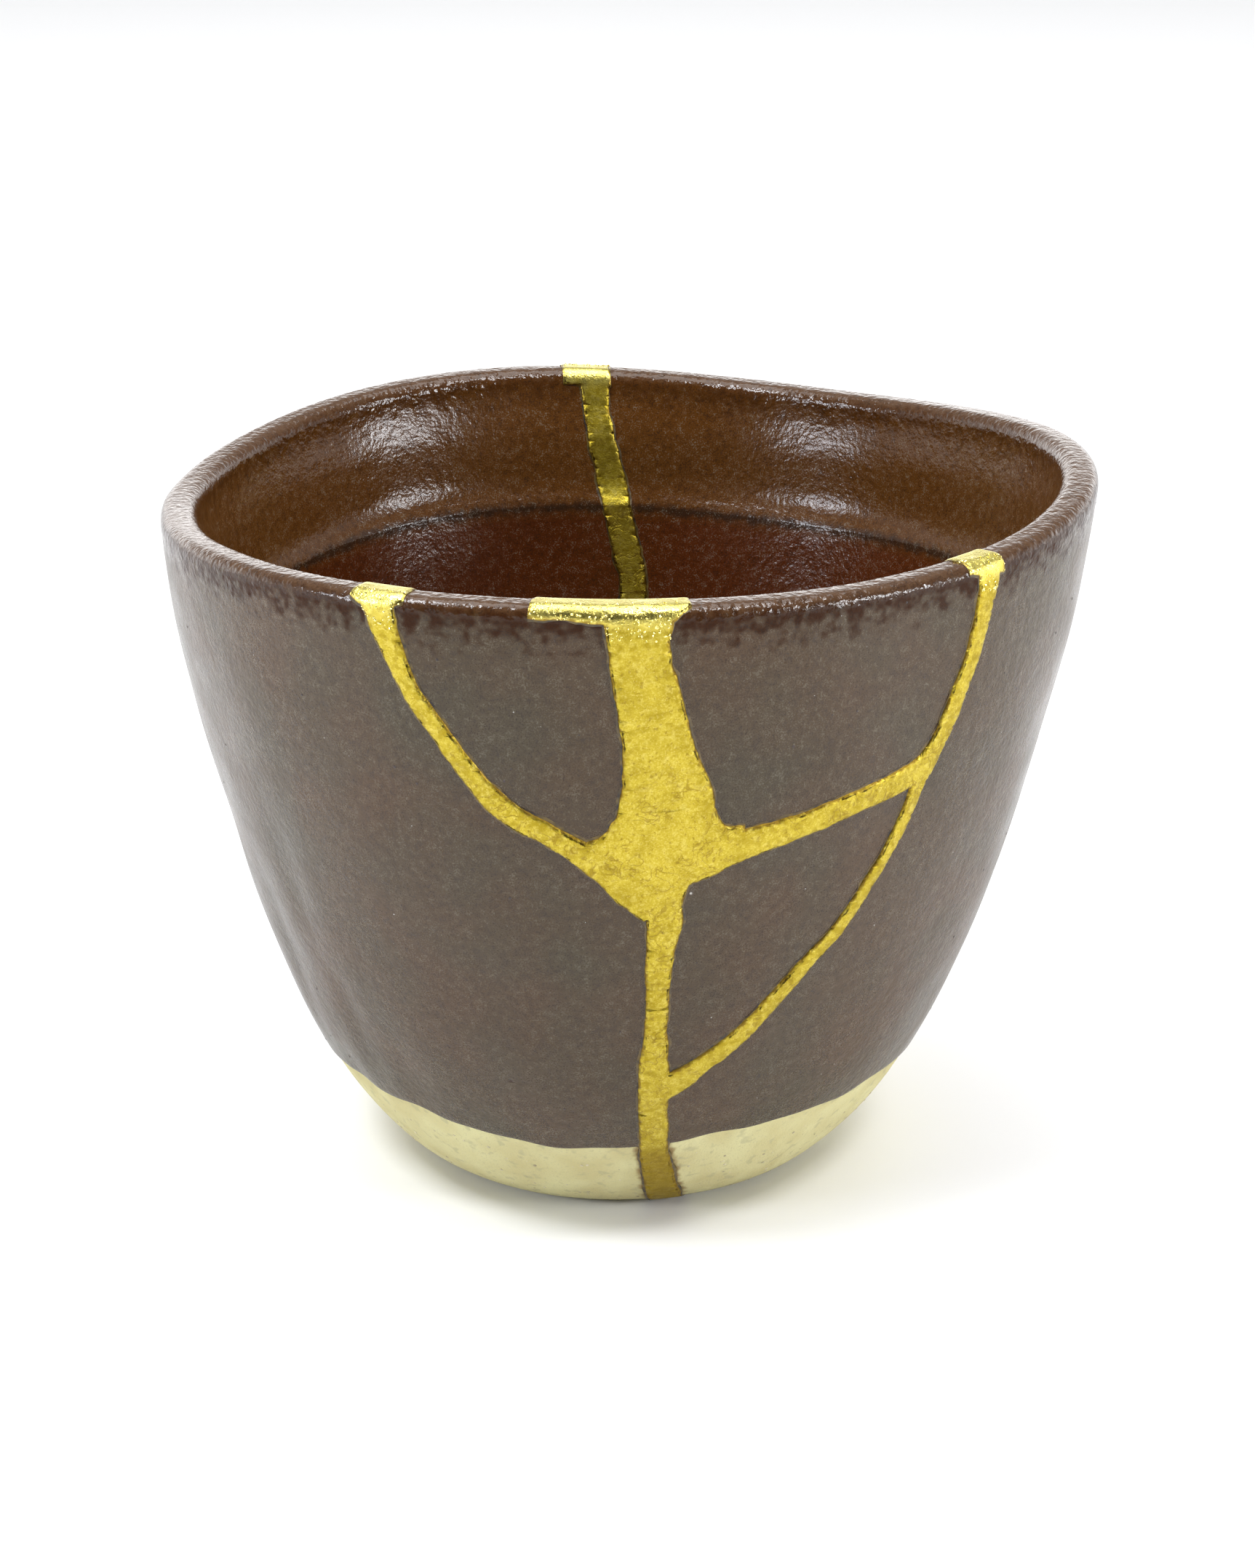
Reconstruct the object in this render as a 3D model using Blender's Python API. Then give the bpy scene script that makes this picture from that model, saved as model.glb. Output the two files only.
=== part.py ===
# A kintsugi tea cup: a thrown stoneware cup that broke into five shards, joined again with
# gold-dusted lacquer. Metres, +Z up, standing on z = 0, with its front at -Y.
#
# The wall is modelled the way a potter's sheet of clay is cut: flat first. The sheet is a disc.
# Its middle is the middle of the base, and its edge is the rim. The seams are ribbons drawn on
# it, which cut it into shards. Each piece is then raised to the wall's thickness and bent round
# into the cup, so every break runs square through the wall.

import bpy
import bmesh
import numpy as np
from math import ceil, cos, hypot, pi, radians, sin
from mathutils import Vector
from mathutils.geometry import delaunay_2d_cdt

# The cup
RIM_RADIUS = 0.044
CUP_HEIGHT = 0.0662
FOOT_RADIUS = 0.0175
FOOT_RING_WIDTH = 0.004
FOOT_RECESS = 0.0012
RECESS_BEVEL = 0.0005
WALL = 0.0035
FLOOR = 0.006

# The side's curve leaves the foot level for this length, and reaches the rim from a point
# this far in from the rim and this high
BELLY_REACH = 0.011
SIDE_LEAN = 0.0029
SIDE_HEIGHT = 0.035

# The bowl inside has a flat floor, and its curve leaves it for this length. Its wall is this
# thick halfway up, where the two faces' curves bend into the side.
BOWL_RADIUS = 0.0145
BOWL_REACH = 0.0095
SIDE_WALL = 0.0045

# The lip is round, a little squarer than a half circle (which is 2), down to a narrow flat at its
# crest, which starts at this angle
LIP_CREST_ANGLE = 74
LIP_SQUARENESS = 2.6
# Inside, a ledge runs round this far below the rim. Above it the wall thins by a small step, in
# a cove this high. Over the last stretch to the lip it thins once more, and so flares outwards.
LEDGE_DROP = 0.0150
LEDGE_STEP = 0.0008
LEDGE_COVE = 0.0034
LIP_FLARE = 0.0005
FLARE_HEIGHT = 0.006

# The thrown rim wanders by about this much. Each row is the number of swells round the cup,
# their share of it, and the angle of the first one. They fade down the wall, by these powers of
# the height.
RIM_WANDER = 0.001
RIM_SPREADS = ((1, 0.17, 36), (2, 0.72, 55), (3, 0.92, 2), (4, 0.43, -17))
RIM_LIFTS = ((1, 1.19, -45), (2, 0.29, 73), (3, 0.98, 0), (4, 0.19, 15))
SPREAD_FADE = 1.2
LIFT_FADE = 2.0
# Finger dents in the side, the deepest one this deep. Each row is an angle, a place up the wall,
# a half-width in degrees, a half-height in places, and a share of the depth.
DENT_DEPTH = 0.0005
DENTS = ((-176, 1.58, 26, 0.17, 1.0), (-148, 1.47, 11, 0.24, 0.8), (-131, 1.40, 8, 0.20, 0.6))

# The gold stands proud of both faces of the wall, and keeps a hair's gap to the shards.
# It is flush under the foot, and comes up to its full height within this distance of it.
GOLD_PROUD = 0.0003
SEAM_GAP = 0.0003
GOLD_RISE = 0.012

# Routes of the seams. Each row is an angle round the cup in degrees, with -90 at the front, a
# place on the wall, and the gold's width as a multiple of a plain seam's. Place 0 is the middle
# of the base, 1 the foot's edge and 2 the rim. A route that starts past 2 cuts the lip right
# through.
SEAM_WIDTH = 0.002
LEFT_SEAM = (
    (-116.0, 2.020, 1.90), (-115.9, 2.000, 1.75), (-115.5, 1.980, 1.45), (-115.0, 1.957, 1.25),
    (-114.2, 1.930, 1.00), (-112.6, 1.885, 0.90), (-109.9, 1.842, 0.95), (-106.9, 1.794, 0.95),
    (-103.4, 1.752, 1.20), (-98.1, 1.719, 1.10), (-94.0, 1.692, 1.25), (-90.5, 1.667, 1.70),
    (-87.5, 1.640, 1.95), (-84.9, 1.608, 1.40),
)
CENTRE_FILL = (
    (-87.5, 2.020, 3.30), (-87.6, 2.000, 3.10), (-87.6, 1.980, 2.90), (-87.6, 1.960, 2.60),
    (-87.4, 1.940, 2.60), (-87.1, 1.918, 2.72), (-86.2, 1.884, 2.85), (-85.2, 1.825, 3.10),
    (-84.2, 1.772, 3.90), (-83.7, 1.733, 4.35), (-84.9, 1.697, 4.80), (-84.6, 1.650, 2.80),
    (-84.2, 1.615, 1.70),
)
BRIDGE_SEAM = (
    (-84.5, 1.672, 2.5), (-79.5, 1.682, 2.15), (-75.6, 1.694, 1.75), (-70.7, 1.703, 1.4),
    (-64.4, 1.716, 1.3), (-58.0, 1.731, 1.2), (-52.5, 1.741, 1.3), (-48.3, 1.752, 1.5),
)
RIGHT_SEAM = (
    (-40.7, 2.020, 1.70), (-40.7, 2.000, 1.60), (-40.8, 1.977, 1.40), (-41.1, 1.953, 1.20),
    (-41.6, 1.920, 1.20), (-42.3, 1.882, 1.10), (-43.9, 1.839, 1.10), (-45.3, 1.800, 1.05),
    (-46.8, 1.771, 1.20), (-48.2, 1.748, 1.50),
)
ARC_SEAM = (
    (-48.0, 1.756, 1.3), (-49.2, 1.708, 0.85), (-51.5, 1.653, 0.8), (-54.6, 1.602, 0.8),
    (-57.9, 1.552, 0.8), (-62.3, 1.507, 0.9), (-66.5, 1.460, 0.95), (-70.8, 1.413, 1.0),
    (-76.1, 1.372, 1.05), (-80.8, 1.340, 1.5), (-84.2, 1.325, 1.8),
)
# The long break runs down the front, under the base and up the back
LONG_BREAK = (
    (-84.4, 1.680, 3.0), (-84.2, 1.620, 1.8), (-83.8, 1.595, 1.65), (-84.3, 1.530, 1.25),
    (-84.3, 1.440, 1.05), (-84.4, 1.385, 1.3), (-84.2, 1.320, 1.4), (-83.2, 1.210, 1.35),
    (-79.5, 1.090, 1.55), (-74.7, 1.005, 1.5), (-60.0, 0.600, 1.3), (-33.0, 0.210, 1.2),
    (73.0, 0.360, 1.15), (78.0, 0.700, 1.2), (86.0, 1.000, 1.2), (88.0, 1.120, 1.2),
    (90.5, 1.300, 1.25), (88.5, 1.500, 1.4), (87.6, 1.665, 1.6), (88.7, 1.725, 1.65),
    (89.9, 1.775, 1.6), (90.9, 1.825, 1.65), (92.2, 1.882, 1.62), (92.8, 1.917, 1.55),
    (93.3, 1.948, 1.50), (93.5, 1.975, 1.55), (93.6, 2.000, 1.60), (93.6, 2.020, 1.60),
)
# Webs of gold that round the corners where the wide fill meets the two seams beside it
LEFT_WEB = (
    (-93.6, 1.697, 0.8), (-91.2, 1.706, 1.0), (-89.4, 1.724, 1.0), (-88.6, 1.745, 1.0),
    (-88.2, 1.771, 1.0),
)
RIGHT_WEB = ((-79.2, 1.748, 0.8), (-78.3, 1.727, 0.8), (-76.8, 1.714, 0.8), (-74.2, 1.711, 0.8))
# Caps of gold on the lip, each a band along the rim that reaches half its width down from it
CENTRE_CAP = (
    (-99.3, 2, 1.00), (-96.0, 2, 1.05), (-92.5, 2, 1.20), (-89.0, 2, 1.35), (-86.0, 2, 1.50),
    (-84.5, 2, 1.45), (-83.5, 2, 1.05), (-82.7, 2, 0.55), (-81.6, 2, 0.15),
)
LEFT_CAP = ((-119.3, 2, 0.45), (-118.0, 2, 1.00), (-116.0, 2, 1.25), (-114.0, 2, 0.95), (-112.8, 2, 0.45))
RIGHT_CAP = ((-44.1, 2, 0.80), (-42.5, 2, 1.00), (-40.5, 2, 1.40), (-38.2, 2, 1.50))
BACK_CAP = ((98.1, 2, 1.50), (96.0, 2, 1.60), (93.5, 2, 1.70), (91.2, 2, 1.60))
SEAMS = (
    LEFT_SEAM, CENTRE_FILL, BRIDGE_SEAM, RIGHT_SEAM, ARC_SEAM, LONG_BREAK, CENTRE_CAP, LEFT_CAP,
    RIGHT_CAP, BACK_CAP, LEFT_WEB, RIGHT_WEB,
)

# A point inside each shard, as angle and place
SHARDS = {
    "left_half": (180, 1.5),
    "right_half": (0, 1.5),
    "rim_shard_left": (-100, 1.86),
    "rim_shard_right": (-65, 1.87),
    "lower_shard": (-72, 1.56),
}

# How finely the sheet is divided: round the cup, up it, and up its belly, which ends at this place
CELL_ROUND = 0.005
CELL_UP = 0.0066
BELLY_CELL_UP = 0.0045
BELLY_TOP = 1.42
FEWEST_ROUND = 20
SEAM_STEP = 0.0024
CURVE_STEPS = 240
WELD = 0.00001
SMOOTH_ANGLE = 40

GLAZE_BROWN = (0.125, 0.092, 0.078, 1.0)
GOLD_YELLOW = (0.58, 0.45, 0.09, 1.0)


def side_curve(*corners):
    """A smooth curve between four corners, as a table of distance, radius and height."""
    t = np.linspace(0, 1, CURVE_STEPS)[:, None]
    start, leave, arrive, end = np.array(corners)
    from_start = (1 - t) ** 3 * start + 3 * (1 - t) ** 2 * t * leave
    points = from_start + 3 * (1 - t) * t ** 2 * arrive + t ** 3 * end
    steps = np.linalg.norm(np.diff(points, axis=0), axis=1)
    return np.concatenate([[0], np.cumsum(steps)]), points


OUTER = side_curve(
    (FOOT_RADIUS, 0), (FOOT_RADIUS + BELLY_REACH, 0),
    (RIM_RADIUS - SIDE_LEAN, SIDE_HEIGHT), (RIM_RADIUS, CUP_HEIGHT))
INNER = side_curve(
    (BOWL_RADIUS, FLOOR), (BOWL_RADIUS + BOWL_REACH, FLOOR),
    (RIM_RADIUS - SIDE_LEAN - SIDE_WALL, SIDE_HEIGHT),
    (RIM_RADIUS - WALL - LEDGE_STEP - LIP_FLARE, CUP_HEIGHT))
SIDE_LENGTH = OUTER[0][-1]
SHEET_RADIUS = FOOT_RADIUS + SIDE_LENGTH
LIP_CENTRE = SHEET_RADIUS - WALL / 2 * sin(radians(LIP_CREST_ANGLE))
LEDGE_RADIUS = SHEET_RADIUS - LEDGE_DROP
RECESS_RADIUS = FOOT_RADIUS - FOOT_RING_WIDTH


def reach(place):
    """Distance from the middle of the sheet to a place on it."""
    if place < 1:
        return place * FOOT_RADIUS
    return FOOT_RADIUS + (place - 1) * SIDE_LENGTH


def smooth_step(x):
    """Rises from 0 to 1 as x does, with level ends."""
    x = np.clip(x, 0, 1)
    return x * x * (3 - 2 * x)


def swell(rows, angle):
    """Sum of the rim's swells at each angle."""
    waves = [share * np.cos(count * (angle - radians(first))) for count, share, first in rows]
    return RIM_WANDER * sum(waves)


def dents(distance, angle):
    """How far the finger dents push the wall in."""
    depth = np.zeros_like(angle)
    for middle, place, half_turn, half_rise, share in DENTS:
        turn = (np.degrees(angle) - middle + 180) % 360 - 180
        rise = (distance - reach(place)) / (half_rise * SIDE_LENGTH)
        depth += share * DENT_DEPTH * np.exp(-((turn / half_turn) ** 2) - rise ** 2)
    return depth


def section(side, distance):
    """Radius and height of one face of the wall, over its flat base and its side."""
    along, points = side
    up_side = (distance - FOOT_RADIUS) / SIDE_LENGTH * along[-1]
    on_base = distance / FOOT_RADIUS * points[0, 0]
    radius = np.where(up_side < 0, on_base, np.interp(up_side, along, points[:, 0]))
    return np.column_stack([radius, np.interp(up_side, along, points[:, 1])])


def bend(sheet, inside, proud):
    """Bend points of the flat sheet round into the cup.

    inside is -1 on the outer face and +1 on the inner one, and proud is how far the piece
    stands out of the wall.
    """
    distance = np.hypot(sheet[:, 0], sheet[:, 1])
    angle = np.arctan2(sheet[:, 1], sheet[:, 0])
    outer = section(OUTER, distance)
    across = section(INNER, distance) - outer
    thickness = np.linalg.norm(across, axis=1)
    across /= thickness[:, None]
    up_cove = np.clip((distance - LEDGE_RADIUS) / LEDGE_COVE, 0, 1)
    thickness -= LEDGE_STEP * (1 - (1 - up_cove) ** 2)
    thickness -= LIP_FLARE * smooth_step(1 - (LIP_CENTRE - distance) / FLARE_HEIGHT)

    stands = proud * np.where(inside < 0, smooth_step((distance - FOOT_RADIUS) / GOLD_RISE), 1)
    over_lip = np.clip((distance - LIP_CENTRE) / (WALL / 2), 0, 1)
    roundness = (1 - over_lip ** LIP_SQUARENESS) ** (1 / LIP_SQUARENESS)
    inward = thickness / 2 + inside * (thickness / 2 + stands) * roundness + dents(distance, angle)
    share = outer[:, 1] / CUP_HEIGHT
    radius = outer[:, 0] + across[:, 0] * inward + share ** SPREAD_FADE * swell(RIM_SPREADS, angle)
    height = outer[:, 1] + across[:, 1] * inward + share ** LIFT_FADE * swell(RIM_LIFTS, angle)
    recess = FOOT_RECESS * smooth_step((RECESS_RADIUS - distance) / RECESS_BEVEL)
    height += over_lip * proud + np.where(inside < 0, recess, 0)
    return np.column_stack([radius * np.cos(angle), radius * np.sin(angle), height])


def rim_middle():
    """Middle of the wandering rim, which the cup is moved by to stand centred on the origin."""
    angle = np.linspace(0, 2 * pi, 720, endpoint=False)
    rim = reach(2) * np.column_stack([np.cos(angle), np.sin(angle)])
    points = bend(rim * LIP_CENTRE / SHEET_RADIUS, np.full(len(rim), -1.0), 0)
    low = points.min(axis=0)
    high = points.max(axis=0)
    return np.array([low[0] + high[0], low[1] + high[1], 0]) / 2


def on_sheet(angle, place):
    """A point of the sheet from an angle in degrees and a place."""
    return reach(place) * cos(radians(angle)), reach(place) * sin(radians(angle))


def smooth_route(route):
    """A seam's middle line and width, with points every SEAM_STEP on a smooth curve."""
    rows = [np.array([*on_sheet(angle, place), wide * SEAM_WIDTH]) for angle, place, wide in route]
    rows = [2 * rows[0] - rows[1], *rows, 2 * rows[-1] - rows[-2]]
    line = []
    for before, start, end, after in zip(rows, rows[1:], rows[2:], rows[3:]):
        middle = (start + end)[:2] / 2
        squeeze = real_over_sheet(np.array([hypot(*middle)]))[0]
        outward = middle / hypot(*middle)
        rise = (end - start)[:2] @ outward
        turn = (end - start)[:2] @ np.array([-outward[1], outward[0]]) * squeeze
        steps = max(1, ceil(hypot(rise, turn) / SEAM_STEP))
        for i in range(steps):
            t = i / steps
            line.append(
                0.5 * (2 * start + (end - before) * t
                       + (2 * before - 5 * start + 4 * end - after) * t ** 2
                       + (3 * start - before - 3 * end + after) * t ** 3)
            )
    line.append(rows[-2])
    return np.array(line)


def real_over_sheet(distance):
    """How much shorter a length round the real cup is than round the flat sheet."""
    return section(OUTER, distance)[:, 0] / distance


def ribbon(route, margin):
    """The left and right edges of a seam on the sheet, a margin outside the gold all round."""
    line = smooth_route(route)
    middle = line[:, :2]
    distance = np.hypot(middle[:, 0], middle[:, 1])
    outward = middle / distance[:, None]
    around = np.column_stack([-outward[:, 1], outward[:, 0]])
    squeeze = real_over_sheet(distance)
    step = np.gradient(middle, axis=0)
    rise = (step * outward).sum(axis=1)
    turn = (step * around).sum(axis=1) * squeeze
    length = np.hypot(rise, turn)
    flare = np.gradient(line[:, 2] / 2) / length
    half = (line[:, 2] / 2 + margin * np.hypot(1, flare)) / length
    side = outward * (turn * half)[:, None] - around * (rise * half / squeeze)[:, None]
    middle[0] -= step[0] * margin / length[0]
    middle[-1] += step[-1] * margin / length[-1]
    return middle - side, middle + side


def sheet_rings():
    """Radii of the rings that divide the sheet, from the base to the rim."""
    rings = [RECESS_RADIUS / 2, RECESS_RADIUS - RECESS_BEVEL, RECESS_RADIUS, FOOT_RADIUS]
    belly_top = reach(BELLY_TOP)
    cove_top = LEDGE_RADIUS + LEDGE_COVE
    for start, end, cell in (
        (FOOT_RADIUS, belly_top, BELLY_CELL_UP),
        (belly_top, LEDGE_RADIUS, CELL_UP),
        (LEDGE_RADIUS, cove_top, LEDGE_COVE / 2),
        (cove_top, LIP_CENTRE, CELL_UP),
    ):
        count = max(1, round((end - start) / cell))
        rings += [start + (end - start) * (i + 1) / count for i in range(count)]
    rings += [LIP_CENTRE + WALL / 2 * sin(radians(lean)) for lean in (30, 54, LIP_CREST_ANGLE)]
    return rings


def cut_sheet():
    """Divide the sheet into triangles along its rings and seams.

    Gives the points, and the triangles of the gold and of the clay.
    """
    points = [(0.0, 0.0)]
    edges = []
    faces = []
    for radius in sheet_rings():
        real = radius * real_over_sheet(np.array([radius]))[0]
        count = max(FEWEST_ROUND, round(2 * pi * real / CELL_ROUND / 4) * 4)
        first = len(points)
        points += [
            (radius * cos(2 * pi * i / count), radius * sin(2 * pi * i / count)) for i in range(count)
        ]
        ring = list(range(first, first + count))
        edges += list(zip(ring, ring[1:] + ring[:1]))
    faces.append(ring)
    kinds = ["sheet"]
    for kind, margin in (("gold", 0), ("gap", SEAM_GAP)):
        for route in SEAMS:
            left, right = ribbon(route, margin)
            first = len(points)
            points += [tuple(p) for p in left] + [tuple(p) for p in right]
            count = len(left)
            for i in range(count - 1):
                a = first + i
                b = first + count + i
                faces.append([a, b, b + 1, a + 1])
                kinds.append(kind)
    flat, _, triangles, _, _, sources = delaunay_2d_cdt(
        [Vector(p) for p in points], edges, faces, 1, WELD)
    gold = []
    clay = []
    for triangle, source in zip(triangles, sources):
        found = {kinds[i] for i in source}
        if "sheet" not in found:
            continue
        if "gold" in found:
            gold.append(triangle)
        elif "gap" not in found:
            clay.append(triangle)
    return np.array([p[:] for p in flat]), gold, clay


def loose_parts(triangles):
    """Groups of triangles that hang together by their edges."""
    at_edge = {}
    for number, triangle in enumerate(triangles):
        for a, b in zip(triangle, triangle[1:] + triangle[:1]):
            at_edge.setdefault((min(a, b), max(a, b)), []).append(number)
    parts = []
    left = set(range(len(triangles)))
    while left:
        front = [left.pop()]
        part = []
        while front:
            number = front.pop()
            part.append(triangles[number])
            triangle = triangles[number]
            for a, b in zip(triangle, triangle[1:] + triangle[:1]):
                for other in at_edge[min(a, b), max(a, b)]:
                    if other in left:
                        left.remove(other)
                        front.append(other)
        parts.append(part)
    return parts


def holds(part, flat, point):
    """Whether a point of the sheet lies in one of a part's triangles."""
    x, y = point
    for triangle in part:
        corners = [flat[i] for i in triangle]
        sides = [
            (b[0] - a[0]) * (y - a[1]) - (b[1] - a[1]) * (x - a[0])
            for a, b in zip(corners, corners[1:] + corners[:1])
        ]
        if min(sides) >= 0 or max(sides) <= 0:
            return True
    return False


def make_material(name, colour, roughness, metallic):
    """A Principled material of one colour."""
    material = bpy.data.materials.new(name)
    material.use_nodes = True
    shader = material.node_tree.nodes["Principled BSDF"]
    shader.inputs["Base Color"].default_value = colour
    shader.inputs["Roughness"].default_value = roughness
    shader.inputs["Metallic"].default_value = metallic
    return material


def raise_piece(name, flat, triangles, proud, material, collection, parent):
    """Raise triangles of the sheet to the wall's thickness and bend them into the cup."""
    mesh = bmesh.new()
    corner = {i: mesh.verts.new((*flat[i], -1)) for i in sorted({i for t in triangles for i in t})}
    for triangle in triangles:
        mesh.faces.new([corner[i] for i in triangle])
    raised = bmesh.ops.extrude_face_region(mesh, geom=mesh.faces[:])
    for item in raised["geom"]:
        if isinstance(item, bmesh.types.BMVert):
            item.co.z = 1
    bmesh.ops.recalc_face_normals(mesh, faces=mesh.faces[:])
    at = np.array([vertex.co[:] for vertex in mesh.verts])
    bent = bend(at[:, :2], at[:, 2], proud) - rim_middle()
    for vertex, point in zip(mesh.verts, bent):
        vertex.co = point
    data = bpy.data.meshes.new(name)
    mesh.to_mesh(data)
    mesh.free()
    data.shade_smooth()
    data.set_sharp_from_angle(angle=radians(SMOOTH_ANGLE))
    data.materials.append(material)
    piece = bpy.data.objects.new(name, data)
    piece.parent = parent
    collection.objects.link(piece)
    return piece


def build():
    """Make the cup's shards and the gold that joins them."""
    for thing in list(bpy.data.objects):
        bpy.data.objects.remove(thing, do_unlink=True)
    collection = bpy.data.collections.new("kintsugi_mug")
    bpy.context.scene.collection.children.link(collection)
    cup = bpy.data.objects.new("cup", None)
    collection.objects.link(cup)

    flat, gold, clay = cut_sheet()
    parts = loose_parts(clay)
    for name, (angle, place) in SHARDS.items():
        part = next(part for part in parts if holds(part, flat, on_sheet(angle, place)))
        glaze = make_material(name + "_glaze", GLAZE_BROWN, 0.35, 0.0)
        raise_piece(name, flat, part, 0, glaze, collection, cup)
    gilt = make_material("gold_seams_gilt", GOLD_YELLOW, 0.42, 0.85)
    raise_piece("gold_seams", flat, gold, GOLD_PROUD, gilt, collection, cup)


build()
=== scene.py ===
# %% [markdown]
# # A kintsugi tea cup
# A thrown stoneware tea cup broke into five shards. A mender joined them again with lacquer,
# filled what was missing, and dusted the lacquer with gold, so that every break is now a line of
# gold. The imported model gives the solids. This lesson makes their finish: the satin brown glaze,
# the bare clay at the foot, the gold that stands proud, and the dark lacquer at its edges.

# %% Load the model
from math import ceil, cos, hypot, pi, radians, sin

import bpy
import numpy as np
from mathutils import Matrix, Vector, noise
from mathutils.geometry import delaunay_2d_cdt
from mathutils.kdtree import KDTree


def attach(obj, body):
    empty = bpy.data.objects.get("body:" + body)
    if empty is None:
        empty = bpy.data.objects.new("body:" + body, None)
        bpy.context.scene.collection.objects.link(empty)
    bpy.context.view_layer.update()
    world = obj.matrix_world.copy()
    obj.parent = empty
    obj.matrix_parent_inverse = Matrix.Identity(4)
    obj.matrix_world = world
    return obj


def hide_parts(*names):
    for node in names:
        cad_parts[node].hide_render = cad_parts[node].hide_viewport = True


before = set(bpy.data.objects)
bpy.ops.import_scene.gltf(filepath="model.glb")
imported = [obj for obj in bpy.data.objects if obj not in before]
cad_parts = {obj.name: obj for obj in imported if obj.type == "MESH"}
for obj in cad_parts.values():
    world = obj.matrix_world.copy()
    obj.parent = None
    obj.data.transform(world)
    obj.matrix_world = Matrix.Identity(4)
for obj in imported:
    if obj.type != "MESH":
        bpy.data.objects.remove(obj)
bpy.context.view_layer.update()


def in_scene(name, data):
    """A new object in the scene, from a mesh, a lamp or a camera."""
    made = bpy.data.objects.new(name, data)
    bpy.context.scene.collection.objects.link(made)
    return made


print("CAD nodes:", ", ".join(sorted(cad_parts)))

# %% [markdown]
# ## The camera
# The photograph was taken from a little above the cup, close by. The outline of the cup in it
# gives the distance, the height and the lens: the rim's ellipse fixes the angle, and how fast the
# sides draw in fixes the distance.

# %% Camera at the photograph's viewpoint
PHOTO_HEIGHT = 2156
FOCAL_PIXELS = 4973
FILM = 36.0
CAMERA_DISTANCE = 0.350
CAMERA_ELEVATION = radians(20.7)
LOOK_AT = Vector((-0.0001, 0.0001, 0.0353))

camera = in_scene("camera", bpy.data.cameras.new("camera"))
camera.data.sensor_width = FILM
camera.data.lens = FOCAL_PIXELS * FILM / PHOTO_HEIGHT
camera.data.clip_start = 0.01
away = Vector((0, -cos(CAMERA_ELEVATION), sin(CAMERA_ELEVATION)))
camera.location = LOOK_AT + CAMERA_DISTANCE * away
camera.rotation_euler = away.to_track_quat("Z", "Y").to_euler()
bpy.context.scene.camera = camera
print("lens:", round(camera.data.lens, 1), "mm")

# %% [markdown]
# ## The cup's form
# The wall is worked out on a flat sheet, as a potter cuts a slab before bending it. The sheet is a
# disc: its middle is the middle of the base, and its edge is the rim. Two curves give the outer
# and the inner face. The hand that threw the cup left the rim wandering and the side dented, and
# a few waves and soft dents give that.

# %% Sizes of the cup
RIM_RADIUS = 0.044
CUP_HEIGHT = 0.0662
FOOT_RADIUS = 0.0175
FOOT_RING_WIDTH = 0.004
FOOT_RECESS = 0.0012
RECESS_BEVEL = 0.0005
WALL = 0.0035
FLOOR = 0.006
BELLY_REACH = 0.011
SIDE_LEAN = 0.0029
SIDE_HEIGHT = 0.035
BOWL_RADIUS = 0.0145
BOWL_REACH = 0.0095
SIDE_WALL = 0.0045
LEDGE_DROP = 0.0150
LEDGE_STEP = 0.0008
LEDGE_COVE = 0.0034
LIP_FLARE = 0.0005
FLARE_HEIGHT = 0.006
LIP_CREST_ANGLE = 74
RIM_WANDER = 0.001
RIM_SPREADS = ((1, 0.17, 36), (2, 0.72, 55), (3, 0.92, 2), (4, 0.43, -17))
RIM_LIFTS = ((1, 1.19, -45), (2, 0.29, 73), (3, 0.98, 0), (4, 0.19, 15))
SPREAD_FADE = 1.2
LIFT_FADE = 2.0
CURVE_STEPS = 600


def side_curve(*corners):
    """A smooth curve between four corners, as a table of distance, radius and height."""
    t = np.linspace(0, 1, CURVE_STEPS)[:, None]
    start, leave, arrive, end = np.array(corners)
    from_start = (1 - t) ** 3 * start + 3 * (1 - t) ** 2 * t * leave
    points = from_start + 3 * (1 - t) * t ** 2 * arrive + t ** 3 * end
    steps = np.linalg.norm(np.diff(points, axis=0), axis=1)
    return np.concatenate([[0], np.cumsum(steps)]), points


OUTER = side_curve(
    (FOOT_RADIUS, 0), (FOOT_RADIUS + BELLY_REACH, 0),
    (RIM_RADIUS - SIDE_LEAN, SIDE_HEIGHT), (RIM_RADIUS, CUP_HEIGHT))
INNER = side_curve(
    (BOWL_RADIUS, FLOOR), (BOWL_RADIUS + BOWL_REACH, FLOOR),
    (RIM_RADIUS - SIDE_LEAN - SIDE_WALL, SIDE_HEIGHT),
    (RIM_RADIUS - WALL - LEDGE_STEP - LIP_FLARE, CUP_HEIGHT))
SIDE_LENGTH = OUTER[0][-1]
SHEET_RADIUS = FOOT_RADIUS + SIDE_LENGTH
LIP_CENTRE = SHEET_RADIUS - WALL / 2 * sin(radians(LIP_CREST_ANGLE))
RECESS_RADIUS = FOOT_RADIUS - FOOT_RING_WIDTH
LIP_ROUND_ANGLE = 86
LIP_SQUARENESS = 2.6
CREST_RADIUS = LIP_CENTRE + WALL / 2 * sin(radians(LIP_ROUND_ANGLE))
LEDGE_RADIUS = SHEET_RADIUS - LEDGE_DROP
print("the side is", round(SIDE_LENGTH * 1000, 1), "mm from foot to rim")

# %% [markdown]
# Three broad dents catch the light on the left of the cup. Between them the potter's fingers left
# smaller ones, and the rest of the wall is a little uneven too, as nothing thrown is ever true.

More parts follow.
